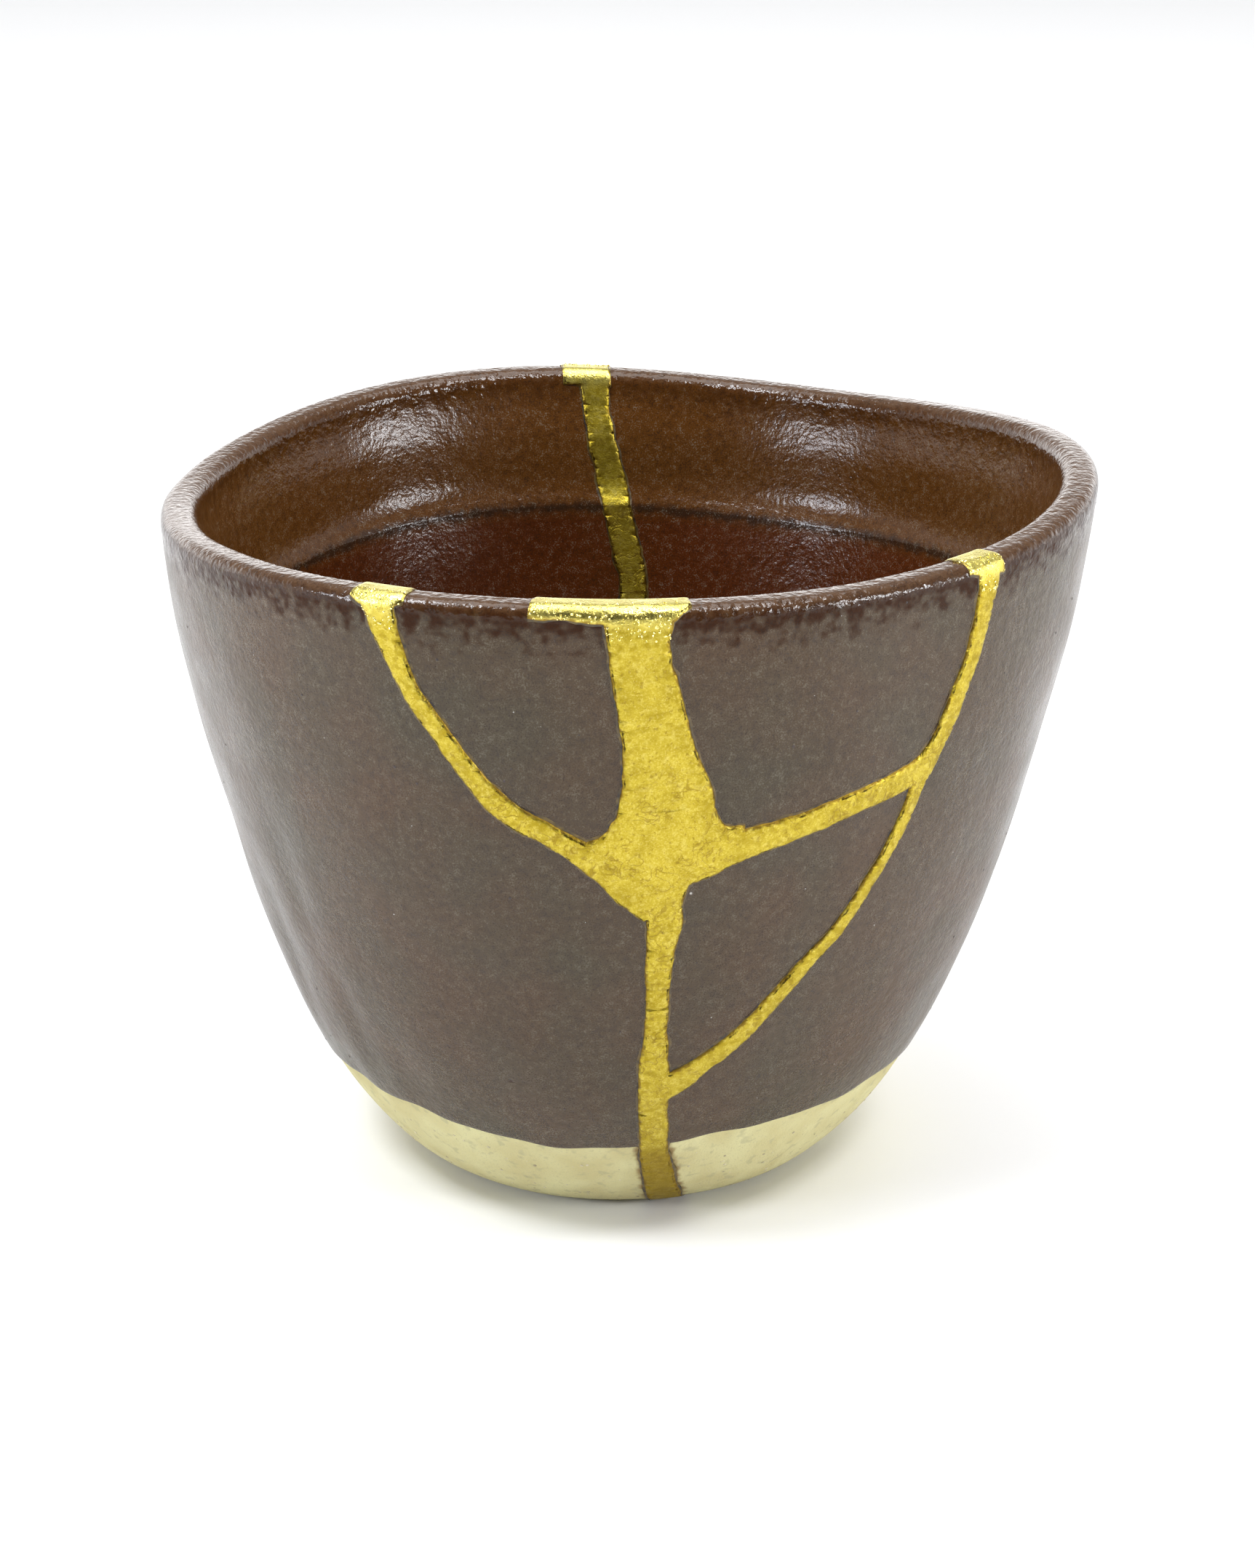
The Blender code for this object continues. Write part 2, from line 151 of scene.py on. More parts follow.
# %% Dents and unevenness
DENT_DEPTH = 0.0005
DENTS = (
    (-176, 1.58, 26, 0.17, 1.0), (-148, 1.47, 11, 0.24, 0.8), (-131, 1.40, 8, 0.20, 0.6),
    (-141, 1.55, 3.5, 0.10, 0.6), (-137, 1.36, 3.0, 0.09, 0.6), (-153, 1.40, 3.0, 0.12, 0.55),
    (-146, 1.24, 4.0, 0.05, 0.5), (-127, 1.28, 4.0, 0.07, 0.4), (-33, 1.45, 9.0, 0.25, 0.44),
    (-12, 1.62, 10.0, 0.20, 0.36), (28, 1.50, 14.0, 0.22, 0.5), (75, 1.42, 10.0, 0.20, 0.44),
    (118, 1.60, 12.0, 0.16, 0.5), (150, 1.36, 10.0, 0.18, 0.44),
)
UNEVEN_SIZE = 0.010
UNEVEN_DEPTH = 0.00012
UNEVEN_RISE = 0.01


def reach(place):
    """Distance from the middle of the sheet to a place: 0 is the middle, 1 the foot, 2 the rim."""
    if place < 1:
        return place * FOOT_RADIUS
    return FOOT_RADIUS + (place - 1) * SIDE_LENGTH


def dents(distance, angle):
    """How far the potter's fingers pushed the wall in."""
    depth = np.zeros_like(angle)
    for middle, place, half_turn, half_rise, share in DENTS:
        turn = (np.degrees(angle) - middle + 180) % 360 - 180
        rise = (distance - reach(place)) / (half_rise * SIDE_LENGTH)
        depth += share * DENT_DEPTH * np.exp(-((turn / half_turn) ** 2) - rise ** 2)
    return depth


def rough(points, size, seed=0.0):
    """Smooth noise between about -1 and 1 at each point, for bumps of a given size."""
    shift = Vector((seed, 2 * seed, 3 * seed))
    return np.array([noise.noise(Vector(point) / size + shift) for point in points]) * 1.6


print(len(DENTS), "dents, the deepest", DENT_DEPTH * 1000, "mm")

# %% The wall as a function


def smooth_step(x):
    """Rises from 0 to 1 as x does, with level ends."""
    x = np.clip(x, 0, 1)
    return x * x * (3 - 2 * x)


def swell(size, rows, angle):
    """Sum of waves round the cup at each angle."""
    return size * sum(share * np.cos(count * (angle - radians(first))) for count, share, first in rows)


def section(side, distance):
    """Radius and height of one face of the wall, over its flat base and its side."""
    along, points = side
    up_side = (distance - FOOT_RADIUS) / SIDE_LENGTH * along[-1]
    on_base = distance / FOOT_RADIUS * points[0, 0]
    radius = np.where(up_side < 0, on_base, np.interp(up_side, along, points[:, 0]))
    return np.column_stack([radius, np.interp(up_side, along, points[:, 1])])


def bend(sheet, inside, proud):
    """Bend points of the flat sheet round into the cup.

    inside is -1 on the outer face and +1 on the inner one, and proud is how far each point
    stands out of the wall.
    """
    distance = np.hypot(sheet[:, 0], sheet[:, 1])
    angle = np.arctan2(sheet[:, 1], sheet[:, 0])
    outer = section(OUTER, distance)
    across = section(INNER, distance) - outer
    thickness = np.linalg.norm(across, axis=1)
    across /= thickness[:, None]
    up_cove = np.clip((distance - LEDGE_RADIUS) / LEDGE_COVE, 0, 1)
    thickness -= LEDGE_STEP * (1 - (1 - up_cove) ** 2)
    thickness -= LIP_FLARE * smooth_step(1 - (LIP_CENTRE - distance) / FLARE_HEIGHT)
    over_lip = np.clip((distance - LIP_CENTRE) / (WALL / 2), 0, 1)
    roundness = (1 - over_lip ** LIP_SQUARENESS) ** (1 / LIP_SQUARENESS)
    inward = thickness / 2 + inside * (thickness / 2 + proud) * roundness + dents(distance, angle)
    share = outer[:, 1] / CUP_HEIGHT
    spread = share ** SPREAD_FADE * swell(RIM_WANDER, RIM_SPREADS, angle)
    lift = share ** LIFT_FADE * swell(RIM_WANDER, RIM_LIFTS, angle)
    radius = outer[:, 0] + across[:, 0] * inward + spread
    height = outer[:, 1] + across[:, 1] * inward + lift
    recess = FOOT_RECESS * smooth_step((RECESS_RADIUS - distance) / RECESS_BEVEL)
    height += over_lip * proud + np.where(inside < 0, recess, 0)
    return np.column_stack([radius * np.cos(angle), radius * np.sin(angle), height])


def rim_middle():
    """Middle of the wandering rim, which stands over the origin."""
    angle = np.linspace(0, 2 * pi, 720, endpoint=False)
    ring = LIP_CENTRE * np.column_stack([np.cos(angle), np.sin(angle)])
    points = bend(ring, np.full(len(ring), -1.0), 0)
    low = points.min(axis=0)
    high = points.max(axis=0)
    return np.array([low[0] + high[0], low[1] + high[1], 0]) / 2


MIDDLE = rim_middle()


def form(sheet, inside, proud):
    """Points of the finished cup: bent, uneven, and standing over the origin."""
    distance = np.hypot(sheet[:, 0], sheet[:, 1])
    inside = np.full(len(sheet), float(inside))
    plain = bend(sheet, inside, 0)
    uneven = UNEVEN_DEPTH * rough(plain, UNEVEN_SIZE) * smooth_step((distance - FOOT_RADIUS) / UNEVEN_RISE)
    points = bend(sheet, inside, proud)
    outward = points[:, :2] / np.maximum(np.hypot(points[:, 0], points[:, 1]), 0.001)[:, None]
    points[:, :2] += outward * uneven[:, None]
    return points - MIDDLE


print("the foot is", np.round(-MIDDLE[:2] * 1000, 2), "mm from under the rim's middle")

# %% [markdown]
# ## The seams
# Each seam is a ribbon drawn on the sheet, given by its middle line and its width. A brush never
# draws an even line, so each edge wavers a little. Three kinds of surface lie side by side: the
# gold, a hair's width of bare dark lacquer along its edges, and the clay.

# %% Routes of the seams
# Rows are the angle round the cup in degrees, with -90 at the front, the place, and the width as
# a multiple of a plain seam's.
SEAM_WIDTH = 0.002
LEFT_SEAM = (
    (-116.0, 2.02, 1.9), (-115.9, 2.0, 1.75), (-115.5, 1.98, 1.45), (-115.0, 1.957, 1.25),
    (-114.2, 1.93, 1.0), (-112.6, 1.885, 0.9), (-109.9, 1.842, 0.95), (-106.9, 1.794, 0.95),
    (-103.4, 1.752, 1.2), (-98.1, 1.719, 1.1), (-94.0, 1.692, 1.25), (-90.5, 1.667, 1.7),
    (-87.5, 1.64, 1.95), (-84.9, 1.608, 1.4),
)
CENTRE_FILL = (
    (-87.5, 2.02, 3.3), (-87.6, 2.0, 3.1), (-87.6, 1.98, 2.9), (-87.6, 1.96, 2.6),
    (-87.4, 1.94, 2.6), (-87.1, 1.918, 2.72), (-86.2, 1.884, 2.85), (-85.2, 1.825, 3.1),
    (-84.2, 1.772, 3.9), (-84.0, 1.733, 4.35), (-84.6, 1.697, 4.8), (-84.6, 1.65, 2.8),
    (-84.2, 1.615, 1.7),
)
BRIDGE_SEAM = (
    (-84.5, 1.672, 2.5), (-79.5, 1.682, 2.15), (-75.6, 1.694, 1.75), (-70.7, 1.703, 1.4),
    (-64.4, 1.716, 1.3), (-58.0, 1.731, 1.2), (-52.5, 1.741, 1.3), (-48.3, 1.752, 1.5),
)
RIGHT_SEAM = (
    (-40.7, 2.02, 1.7), (-40.7, 2.0, 1.6), (-40.8, 1.977, 1.4), (-41.1, 1.953, 1.2),
    (-41.6, 1.92, 1.2), (-42.3, 1.882, 1.1), (-43.9, 1.839, 1.1), (-45.3, 1.8, 1.05),
    (-46.8, 1.771, 1.2), (-48.2, 1.748, 1.5),
)
ARC_SEAM = (
    (-48.0, 1.756, 1.3), (-49.2, 1.708, 0.85), (-51.5, 1.653, 0.8), (-54.6, 1.602, 0.8),
    (-57.9, 1.552, 0.8), (-62.3, 1.507, 0.9), (-66.5, 1.46, 0.95), (-70.8, 1.413, 1.0),
    (-76.1, 1.372, 1.05), (-80.8, 1.34, 1.5), (-84.2, 1.325, 1.8),
)
LONG_BREAK = (
    (-84.4, 1.68, 3.0), (-84.2, 1.62, 1.8), (-83.8, 1.595, 1.65), (-84.3, 1.53, 1.25),
    (-84.3, 1.44, 1.05), (-84.4, 1.385, 1.3), (-84.2, 1.32, 1.4), (-83.2, 1.21, 1.35),
    (-79.5, 1.09, 1.55), (-74.7, 1.005, 1.5), (-60.0, 0.6, 1.3), (-33.0, 0.21, 1.2),
    (73.0, 0.36, 1.15), (78.0, 0.7, 1.2), (86.0, 1.0, 1.2), (88.0, 1.12, 1.2),
    (90.5, 1.3, 1.25), (88.5, 1.5, 1.4), (87.6, 1.665, 1.6), (88.7, 1.725, 1.65),
    (89.9, 1.775, 1.6), (90.9, 1.825, 1.65), (92.2, 1.882, 1.62), (92.8, 1.917, 1.55),
    (93.3, 1.948, 1.5), (93.5, 1.975, 1.55), (93.6, 2.0, 1.6), (93.6, 2.02, 1.6),
)
# Webs of gold that round the corners where the wide fill meets the two seams beside it
LEFT_WEB = (
    (-93.6, 1.697, 0.8), (-91.2, 1.706, 1.0), (-89.4, 1.724, 1.0), (-88.6, 1.745, 1.0),
    (-88.2, 1.771, 1.0),
)
RIGHT_WEB = ((-79.2, 1.748, 0.8), (-78.3, 1.727, 0.8), (-76.8, 1.714, 0.8), (-74.2, 1.711, 0.8))
CENTRE_CAP = (
    (-99.3, 2, 1.0), (-96.0, 2, 1.05), (-92.5, 2, 1.2), (-89.0, 2, 1.35), (-86.0, 2, 1.5),
    (-84.5, 2, 1.45), (-83.5, 2, 1.05), (-82.7, 2, 0.55), (-81.6, 2, 0.15),
)
LEFT_CAP = ((-119.3, 2, 0.45), (-118.0, 2, 1.0), (-116.0, 2, 1.25), (-114.0, 2, 0.95), (-112.8, 2, 0.45))
RIGHT_CAP = ((-44.1, 2, 0.8), (-42.5, 2, 1.0), (-40.5, 2, 1.4), (-38.2, 2, 1.5))
BACK_CAP = ((98.1, 2, 1.5), (96.0, 2, 1.6), (93.5, 2, 1.7), (91.2, 2, 1.6))
SEAMS = (
    LEFT_SEAM, CENTRE_FILL, BRIDGE_SEAM, RIGHT_SEAM, ARC_SEAM, LONG_BREAK, CENTRE_CAP, LEFT_CAP,
    RIGHT_CAP, BACK_CAP, LEFT_WEB, RIGHT_WEB,
)
print(len(SEAMS), "seams")

# %% The middle line of a seam
SEAM_STEP = 0.0005


def on_sheet(angle, place):
    """A point of the sheet from an angle in degrees and a place."""
    return reach(place) * cos(radians(angle)), reach(place) * sin(radians(angle))


def real_over_sheet(distance):
    """How much shorter a length round the real cup is than round the flat sheet."""
    return section(OUTER, distance)[:, 0] / distance


def smooth_route(route):
    """A seam's middle line and width, with points every SEAM_STEP on a smooth curve."""
    rows = [np.array([*on_sheet(angle, place), wide * SEAM_WIDTH]) for angle, place, wide in route]
    rows = [2 * rows[0] - rows[1], *rows, 2 * rows[-1] - rows[-2]]
    line = []
    for before, start, end, after in zip(rows, rows[1:], rows[2:], rows[3:]):
        middle = (start + end)[:2] / 2
        squeeze = real_over_sheet(np.array([hypot(*middle)]))[0]
        outward = middle / hypot(*middle)
        rise = (end - start)[:2] @ outward
        turn = (end - start)[:2] @ np.array([-outward[1], outward[0]]) * squeeze
        steps = max(1, ceil(hypot(rise, turn) / SEAM_STEP))
        for i in range(steps):
            t = i / steps
            line.append(
                0.5 * (2 * start + (end - before) * t
                       + (2 * before - 5 * start + 4 * end - after) * t ** 2
                       + (3 * start - before - 3 * end + after) * t ** 3)
            )
    line.append(rows[-2])
    return np.array(line)


line = smooth_route(ARC_SEAM)
print("the arc seam has", len(line), "points along it")

# %% The two edges of a brushed line
EDGE_WAVER = 0.00010
LACQUER_EDGE = 0.00014
LACQUER_WAVER = 0.00012
LACQUER_LEAST = 0.00003
WAVER_LENGTH = 0.0022


def waver(along, seed):
    """A line that wanders between about -1 and 1, by long waves and short ones."""
    spots = np.column_stack([along, np.zeros_like(along), np.zeros_like(along)])
    return rough(spots, WAVER_LENGTH, seed) + 0.5 * rough(spots, WAVER_LENGTH / 3, seed + 0.4)


def across_seam(route, seed):
    """The middle line of a seam, the step across it, and the half-widths of gold and lacquer."""
    line = smooth_route(route)
    middle = line[:, :2]
    distance = np.hypot(middle[:, 0], middle[:, 1])
    outward = middle / distance[:, None]
    around = np.column_stack([-outward[:, 1], outward[:, 0]])
    squeeze = real_over_sheet(distance)
    step = np.gradient(middle, axis=0)
    rise = (step * outward).sum(axis=1)
    turn = (step * around).sum(axis=1) * squeeze
    length = np.hypot(rise, turn)
    side = outward * (turn / length)[:, None] - around * (rise / length / squeeze)[:, None]
    along = np.cumsum(length)
    half = line[:, 2] / 2
    flare = np.hypot(1, np.gradient(half) / length)
    gold = []
    dark = []
    for way in range(2):
        edge = half + EDGE_WAVER * waver(along, seed + 0.31 * way)
        margin = LACQUER_EDGE + LACQUER_WAVER * waver(along, seed + 0.31 * way + 0.13)
        gold.append(edge)
        dark.append(edge + np.maximum(margin, LACQUER_LEAST) * flare)
    return middle, side, gold, dark


print("a seam's edges waver by", EDGE_WAVER * 1000, "mm")

# %% [markdown]
# ## Cutting the sheet
# The sheet is divided into small triangles that keep to the rings of the cup, to the edges of the
# seams and to the line where the glaze ends. Delaunay triangulation does this in one step: it
# takes points, and lines that must show as edges, and gives back well-shaped triangles.

# %% Where the glaze ends
GLAZE_LINE = 0.0342
GLAZE_WANDER = 0.001
GLAZE_WAVES = ((3, 0.9, -38), (7, 0.3, -20), (19, 0.12, 3), (31, 0.07, 9))
GLAZE_THICKNESS = 0.0002
GLAZE_EDGE = 0.00035


def glaze_line(angle):
    """Distance from the middle of the sheet to where the glaze ends."""
    return GLAZE_LINE + swell(GLAZE_WANDER, GLAZE_WAVES, angle)


print("the glaze ends", round((GLAZE_LINE - FOOT_RADIUS) * 1000, 1), "mm up the side from the foot")

# %% Rings of the sheet
RING_CELL = 0.0011
BASE_CELL = 0.0022
LIP_LEANS = (8, 17, 26, 35, 44, 53, 61, 69, 77, LIP_ROUND_ANGLE)
GLAZE_ROWS = (-1.2, -0.6, -0.3, 0, 0.5, 1, 2)
GLAZE_MARGIN = 0.0022
LEDGE_CREASE = 0.0002


def even_angles(radius, cell):
    """Angles that are one cell apart round the real cup."""
    real = radius * real_over_sheet(np.array([radius]))[0]
    count = max(16, round(2 * pi * real / cell))
    return np.arange(count) * 2 * pi / count


def ring_of(radius, angle):
    """A ring of points on the sheet. The radius is a number, or an array with one for each point."""
    return np.column_stack([radius * np.cos(angle), radius * np.sin(angle)])


def glaze_ring(off):
    """A ring that follows the end of the glaze, a little above or below it."""
    angle = even_angles(GLAZE_LINE, RING_CELL / 2)
    return ring_of(glaze_line(angle) + off * GLAZE_EDGE, angle)


def all_rings():
    """Every ring that divides the sheet, from the base to the lip."""
    base = [*np.linspace(BASE_CELL, RECESS_RADIUS - RECESS_BEVEL, 6), RECESS_RADIUS - RECESS_BEVEL / 2]
    base += [*np.linspace(RECESS_RADIUS, FOOT_RADIUS, 4)]
    low = np.arange(FOOT_RADIUS + RING_CELL, GLAZE_LINE - GLAZE_MARGIN, RING_CELL)
    first = GLAZE_LINE + GLAZE_MARGIN
    high = [*np.linspace(first, LEDGE_RADIUS - LEDGE_CREASE, round((LEDGE_RADIUS - first) / RING_CELL))]
    high += [*np.linspace(LEDGE_RADIUS, LIP_CENTRE, round(LEDGE_DROP / RING_CELL))]
    lip = [LIP_CENTRE + WALL / 2 * sin(radians(lean)) for lean in LIP_LEANS]
    rings = [ring_of(radius, even_angles(radius, BASE_CELL)) for radius in base]
    rings += [ring_of(radius, even_angles(radius, RING_CELL)) for radius in [*low, *high, *lip]]
    return rings[:-1] + [glaze_ring(off) for off in GLAZE_ROWS] + rings[-1:]


print(len(all_rings()), "rings")

# %% Triangles of gold, lacquer and clay
WELD = 0.000004
BEAD_ROWS = (0.00008, 0.00020, 0.00040, 0.00075)


def cut_sheet():
    """Divide the sheet. Gives its points and the triangles of each kind of surface."""
    points = [(0.0, 0.0)]
    edges = []
    for ring in all_rings():
        numbers = list(range(len(points), len(points) + len(ring)))
        points += [tuple(p) for p in ring]
        edges += list(zip(numbers, numbers[1:] + numbers[:1]))
    faces = [numbers]
    kinds = ["sheet"]
    for seed, route in enumerate(SEAMS):
        middle, side, gold, dark = across_seam(route, seed)
        count = len(middle)
        for kind, (left, right) in (("gold", gold), ("lacquer", dark)):
            first = len(points)
            points += [tuple(p) for p in middle - side * left[:, None]]
            points += [tuple(p) for p in middle + side * right[:, None]]
            for a in range(first, first + count - 1):
                faces.append([a, a + count, a + count + 1, a + 1])
                kinds.append(kind)
        for inset in BEAD_ROWS:
            for half, way in zip(gold, (-1, 1)):
                points += [tuple(p) for p in middle + side * (way * np.maximum(half - inset, 0))[:, None]]
    flat, _, triangles, _, _, sources = delaunay_2d_cdt([Vector(p) for p in points], edges, faces, 1, WELD)
    found = {"gold": [], "lacquer": [], "clay": []}
    for triangle, source in zip(triangles, sources):
        here = {kinds[i] for i in source}
        if "sheet" in here:
            kind = "gold" if "gold" in here else "lacquer" if "lacquer" in here else "clay"
            found[kind].append(tuple(triangle))
    return np.array([p[:] for p in flat]), found


flat, found = cut_sheet()
print("triangles:", ", ".join(f"{len(rows)} of {kind}" for kind, rows in found.items()))

# %% [markdown]
# The clay's triangles fall into separate parts along the seams, and those are the shards. A point
# inside each shard names it. Crumbs too small to be a shard are lacquer.

# %% The shards
SHARDS = {
    "left_half": (180, 1.5),
    "right_half": (0, 1.5),
    "rim_shard_left": (-100, 1.86),
    "rim_shard_right": (-65, 1.87),
    "lower_shard": (-72, 1.56),
}


def loose_parts(triangles):
    """Groups of triangles that hang together by their edges."""
    at_edge = {}
    for number, triangle in enumerate(triangles):
        for a, b in zip(triangle, triangle[1:] + triangle[:1]):
            at_edge.setdefault((min(a, b), max(a, b)), []).append(number)
    parts = []
    left = set(range(len(triangles)))
    while left:
        front = [left.pop()]
        part = []
        while front:
            triangle = triangles[front.pop()]
            part.append(triangle)
            for a, b in zip(triangle, triangle[1:] + triangle[:1]):
                for other in at_edge[min(a, b), max(a, b)]:
                    if other in left:
                        left.remove(other)
                        front.append(other)
        parts.append(part)
    return parts


def holds(part, point):
    """Whether a point of the sheet lies in one of a part's triangles."""
    corners = flat[np.array(part)]
    to_point = np.array(point) - corners
    sides = np.roll(corners, -1, axis=1) - corners
    turns = sides[..., 0] * to_point[..., 1] - sides[..., 1] * to_point[..., 0]
    return bool(((turns >= 0).all(axis=1) | (turns <= 0).all(axis=1)).any())


parts = loose_parts(found["clay"])
shards = {}
for name, (angle, place) in SHARDS.items():
    shards[name] = next(part for part in parts if holds(part, on_sheet(angle, place)))
crumbs = [part for part in parts if not any(part is shard for shard in shards.values())]
found["lacquer"] += [triangle for part in crumbs for triangle in part]
print(len(shards), "shards and", len(crumbs), "crumbs")

# %% [markdown]
# ## How far each point is from a seam, from the lip and from the end of the glaze
# The gold's round edge, the soaked clay beside it and the dark band under the lip, which is partly
# painted shade, all depend on a distance. Each is measured once, on the outer face, and kept with
# the points as an attribute that the materials read too.

# %% Distances over the surface
OUTLINE_STEP = 0.00005
FOOT_MARGIN = 0.001
distance = np.hypot(flat[:, 0], flat[:, 1])
angle = np.arctan2(flat[:, 1], flat[:, 0])
outside = form(flat, -1, 0)
on_rim = distance > CREST_RADIUS - WELD * 4


def border(triangles):
    """The edges that only one triangle has, in its own direction."""
    every = {(a, b) for triangle in triangles for a, b in zip(triangle, triangle[1:] + triangle[:1])}
    return [(a, b) for a, b in every if (b, a) not in every]


on_foot = distance < FOOT_RADIUS + FOOT_MARGIN
outline = sorted((a, b) for a, b in border(found["gold"]) if not (on_rim[a] and on_rim[b]))
samples = []
for a, b in outline:
    steps = max(1, ceil(np.linalg.norm(outside[b] - outside[a]) / OUTLINE_STEP))
    samples += [outside[a] + (outside[b] - outside[a]) * i / steps for i in range(steps)]
tree = KDTree(len(samples))
for number, point in enumerate(samples):
    tree.insert(point, number)
tree.balance()
from_seam = np.array([tree.find(point)[2] for point in outside])
from_rim = SHEET_RADIUS - distance
from_glaze = distance - glaze_line(angle)
print("the gold's outline is", round(len(samples) * OUTLINE_STEP * 1000), "mm long")

# %% [markdown]
# ## Raising the pieces
# Each piece is cut from the sheet, given the wall's thickness and bent into the cup. The outer
# layer, the inner layer and the walls between them close it. Where two parts of a piece touch in
# one point only, each gets a point of its own, because a solid that hangs by a point isn't closed.

# %% Corners that touch in one point only


def split_fans(triangles):
    """Number the corners so that triangles share one only if they also share an edge there."""
    root = list(range(3 * len(triangles)))

    def find(corner):
        while root[corner] != corner:
            root[corner] = root[root[corner]]
            corner = root[corner]
        return corner

    at_edge = {}
    for number, triangle in enumerate(triangles):
        for i in range(3):
            j = (i + 1) % 3
            at_edge[triangle[i], triangle[j]] = (3 * number + i, 3 * number + j)
    for (a, b), (at_a, at_b) in at_edge.items():
        if (b, a) in at_edge:
            other_b, other_a = at_edge[b, a]
            root[find(at_a)] = find(other_a)
            root[find(at_b)] = find(other_b)
    roots = [find(corner) for corner in range(len(root))]
    kept = sorted(set(roots))
    number_of = {corner: number for number, corner in enumerate(kept)}
    corners = np.array([number_of[corner] for corner in roots]).reshape(-1, 3)
    sources = np.array([triangles[corner // 3][corner % 3] for corner in kept])
    return corners, sources


print("the gold has", len(split_fans(found["gold"])[1]), "corners on each face")

# %% A closed piece from its triangles
SMOOTH_ANGLE = radians(38)
ATTRIBUTES = {"from_seam": from_seam, "from_rim": from_rim, "from_glaze": from_glaze}


def raise_piece(name, triangles, proud_outside, proud_inside, materials, choose=None):
    """A closed piece. choose numbers the materials of faces outside and inside; breaks get 1, the lip 0."""
    corners, sources = split_fans(triangles)
    sheet = flat[sources]
    outer = form(sheet, -1, proud_outside[sources])
    inner = form(sheet, 1, proud_inside[sources])
    count = len(sources)
    walls = border([tuple(row) for row in corners.tolist()])
    faces = [row[::-1] for row in corners.tolist()]
    faces += (corners + count).tolist()
    faces += [[a, b, b + count, a + count] for a, b in walls]
    mesh = bpy.data.meshes.new(name)
    mesh.from_pydata(np.concatenate([outer, inner]), [], faces)
    for key, values in ATTRIBUTES.items():
        layer = mesh.attributes.new(key, "FLOAT", "POINT")
        layer.data.foreach_set("value", np.tile(values[sources], 2).astype(np.float32))
    layer = mesh.attributes.new("inner", "FLOAT", "POINT")
    layer.data.foreach_set("value", np.repeat([0.0, 1.0], count).astype(np.float32))
    mesh.shade_smooth()
    mesh.set_sharp_from_angle(angle=SMOOTH_ANGLE)
    for material in materials:
        mesh.materials.append(material)
    if choose is not None:
        low = from_glaze[sources][corners].mean(axis=1) < 0
        lip = [bool(on_rim[sources[a]] and on_rim[sources[b]]) for a, b in walls]
        index = [choose(outer=True, low=row) for row in low] + [choose(outer=False, low=False)] * len(low)
        index += [0 if row else 1 for row in lip]
        mesh.polygons.foreach_set("material_index", index)
    print(name, "has", sum(len(face) - 2 for face in faces), "triangles")
    return in_scene(name, mesh)


print("each piece keeps", ", ".join(ATTRIBUTES), "and inner")

# %% [markdown]
# ## Finishes
# A few effects come back in every finish: a grain of some size, and an edge that fades over some
# distance. Each is a node group, built once and used with other values in each material. All
# patterns follow the cup's own coordinates, so they stay in place from any side.

# %% Helpers for shader nodes


def put(tree, kind, settings=None, **values):
    """Add a node. settings are its own choices, and values go to its inputs by name."""
    made = tree.nodes.new(kind)
    for key, value in (settings or {}).items():
        setattr(made, key, value)
    for key, value in values.items():
        plug(tree, value, made.inputs[key.replace("_", " ")])
    return made


def plug(tree, value, socket):
    """Link a socket, or set it to a plain value."""
    if isinstance(value, bpy.types.NodeSocket):
        tree.links.new(value, socket)
    else:
        socket.default_value = value


def calc(tree, operation, *values):
    """A Math node's result."""
    made = put(tree, "ShaderNodeMath", {"operation": operation})
    for value, socket in zip(values, made.inputs):
        plug(tree, value, socket)
    return made.outputs[0]


def times(tree, first, second):
    """Two values multiplied."""
    return calc(tree, "MULTIPLY", first, second)


def plus(tree, first, second):
    """Two values added."""
    return calc(tree, "ADD", first, second)


def apart(tree, first, second):
    """How far two values are from each other."""
    return calc(tree, "ABSOLUTE", calc(tree, "SUBTRACT", first, second))


def ramp(tree, value, start, end, low=0.0, high=1.0):
    """A value that goes from low to high as another goes from start to end."""
    made = put(
        tree, "ShaderNodeMapRange", Value=value, From_Min=start, From_Max=end, To_Min=low, To_Max=high)
    return made.outputs["Result"]


def mix(tree, share, first, second):
    """A mix of two colours."""
    made = put(tree, "ShaderNodeMix", {"data_type": "RGBA"})
    plug(tree, share, made.inputs["Factor"])
    for socket, colour in zip([s for s in made.inputs if s.type == "RGBA"], (first, second)):
        plug(tree, (*colour, 1.0) if isinstance(colour, tuple) else colour, socket)
    return next(s for s in made.outputs if s.type == "RGBA")


def layered(tree, colour, *layers):
    """A colour with others laid over it, each by its share."""
    for share, over in layers:
        colour = mix(tree, share, colour, over)
    return colour


def of_surface(tree, name):
    """The value of one of the piece's attributes."""
    return put(tree, "ShaderNodeAttribute", {"attribute_name": name}).outputs["Fac"]


print("helpers ready")

# %% Node groups that the finishes share


def open_group(name, inputs, outputs):
    """A new shader node group, with its input and output nodes."""
    group = bpy.data.node_groups.new(name, "ShaderNodeTree")
    for title, value in inputs.items():
        socket = group.interface.new_socket(name=title, in_out="INPUT", socket_type="NodeSocketFloat")
        socket.default_value = value
    for title in outputs:
        group.interface.new_socket(name=title, in_out="OUTPUT", socket_type="NodeSocketFloat")
    return group, group.nodes.new("NodeGroupInput").outputs, group.nodes.new("NodeGroupOutput").inputs


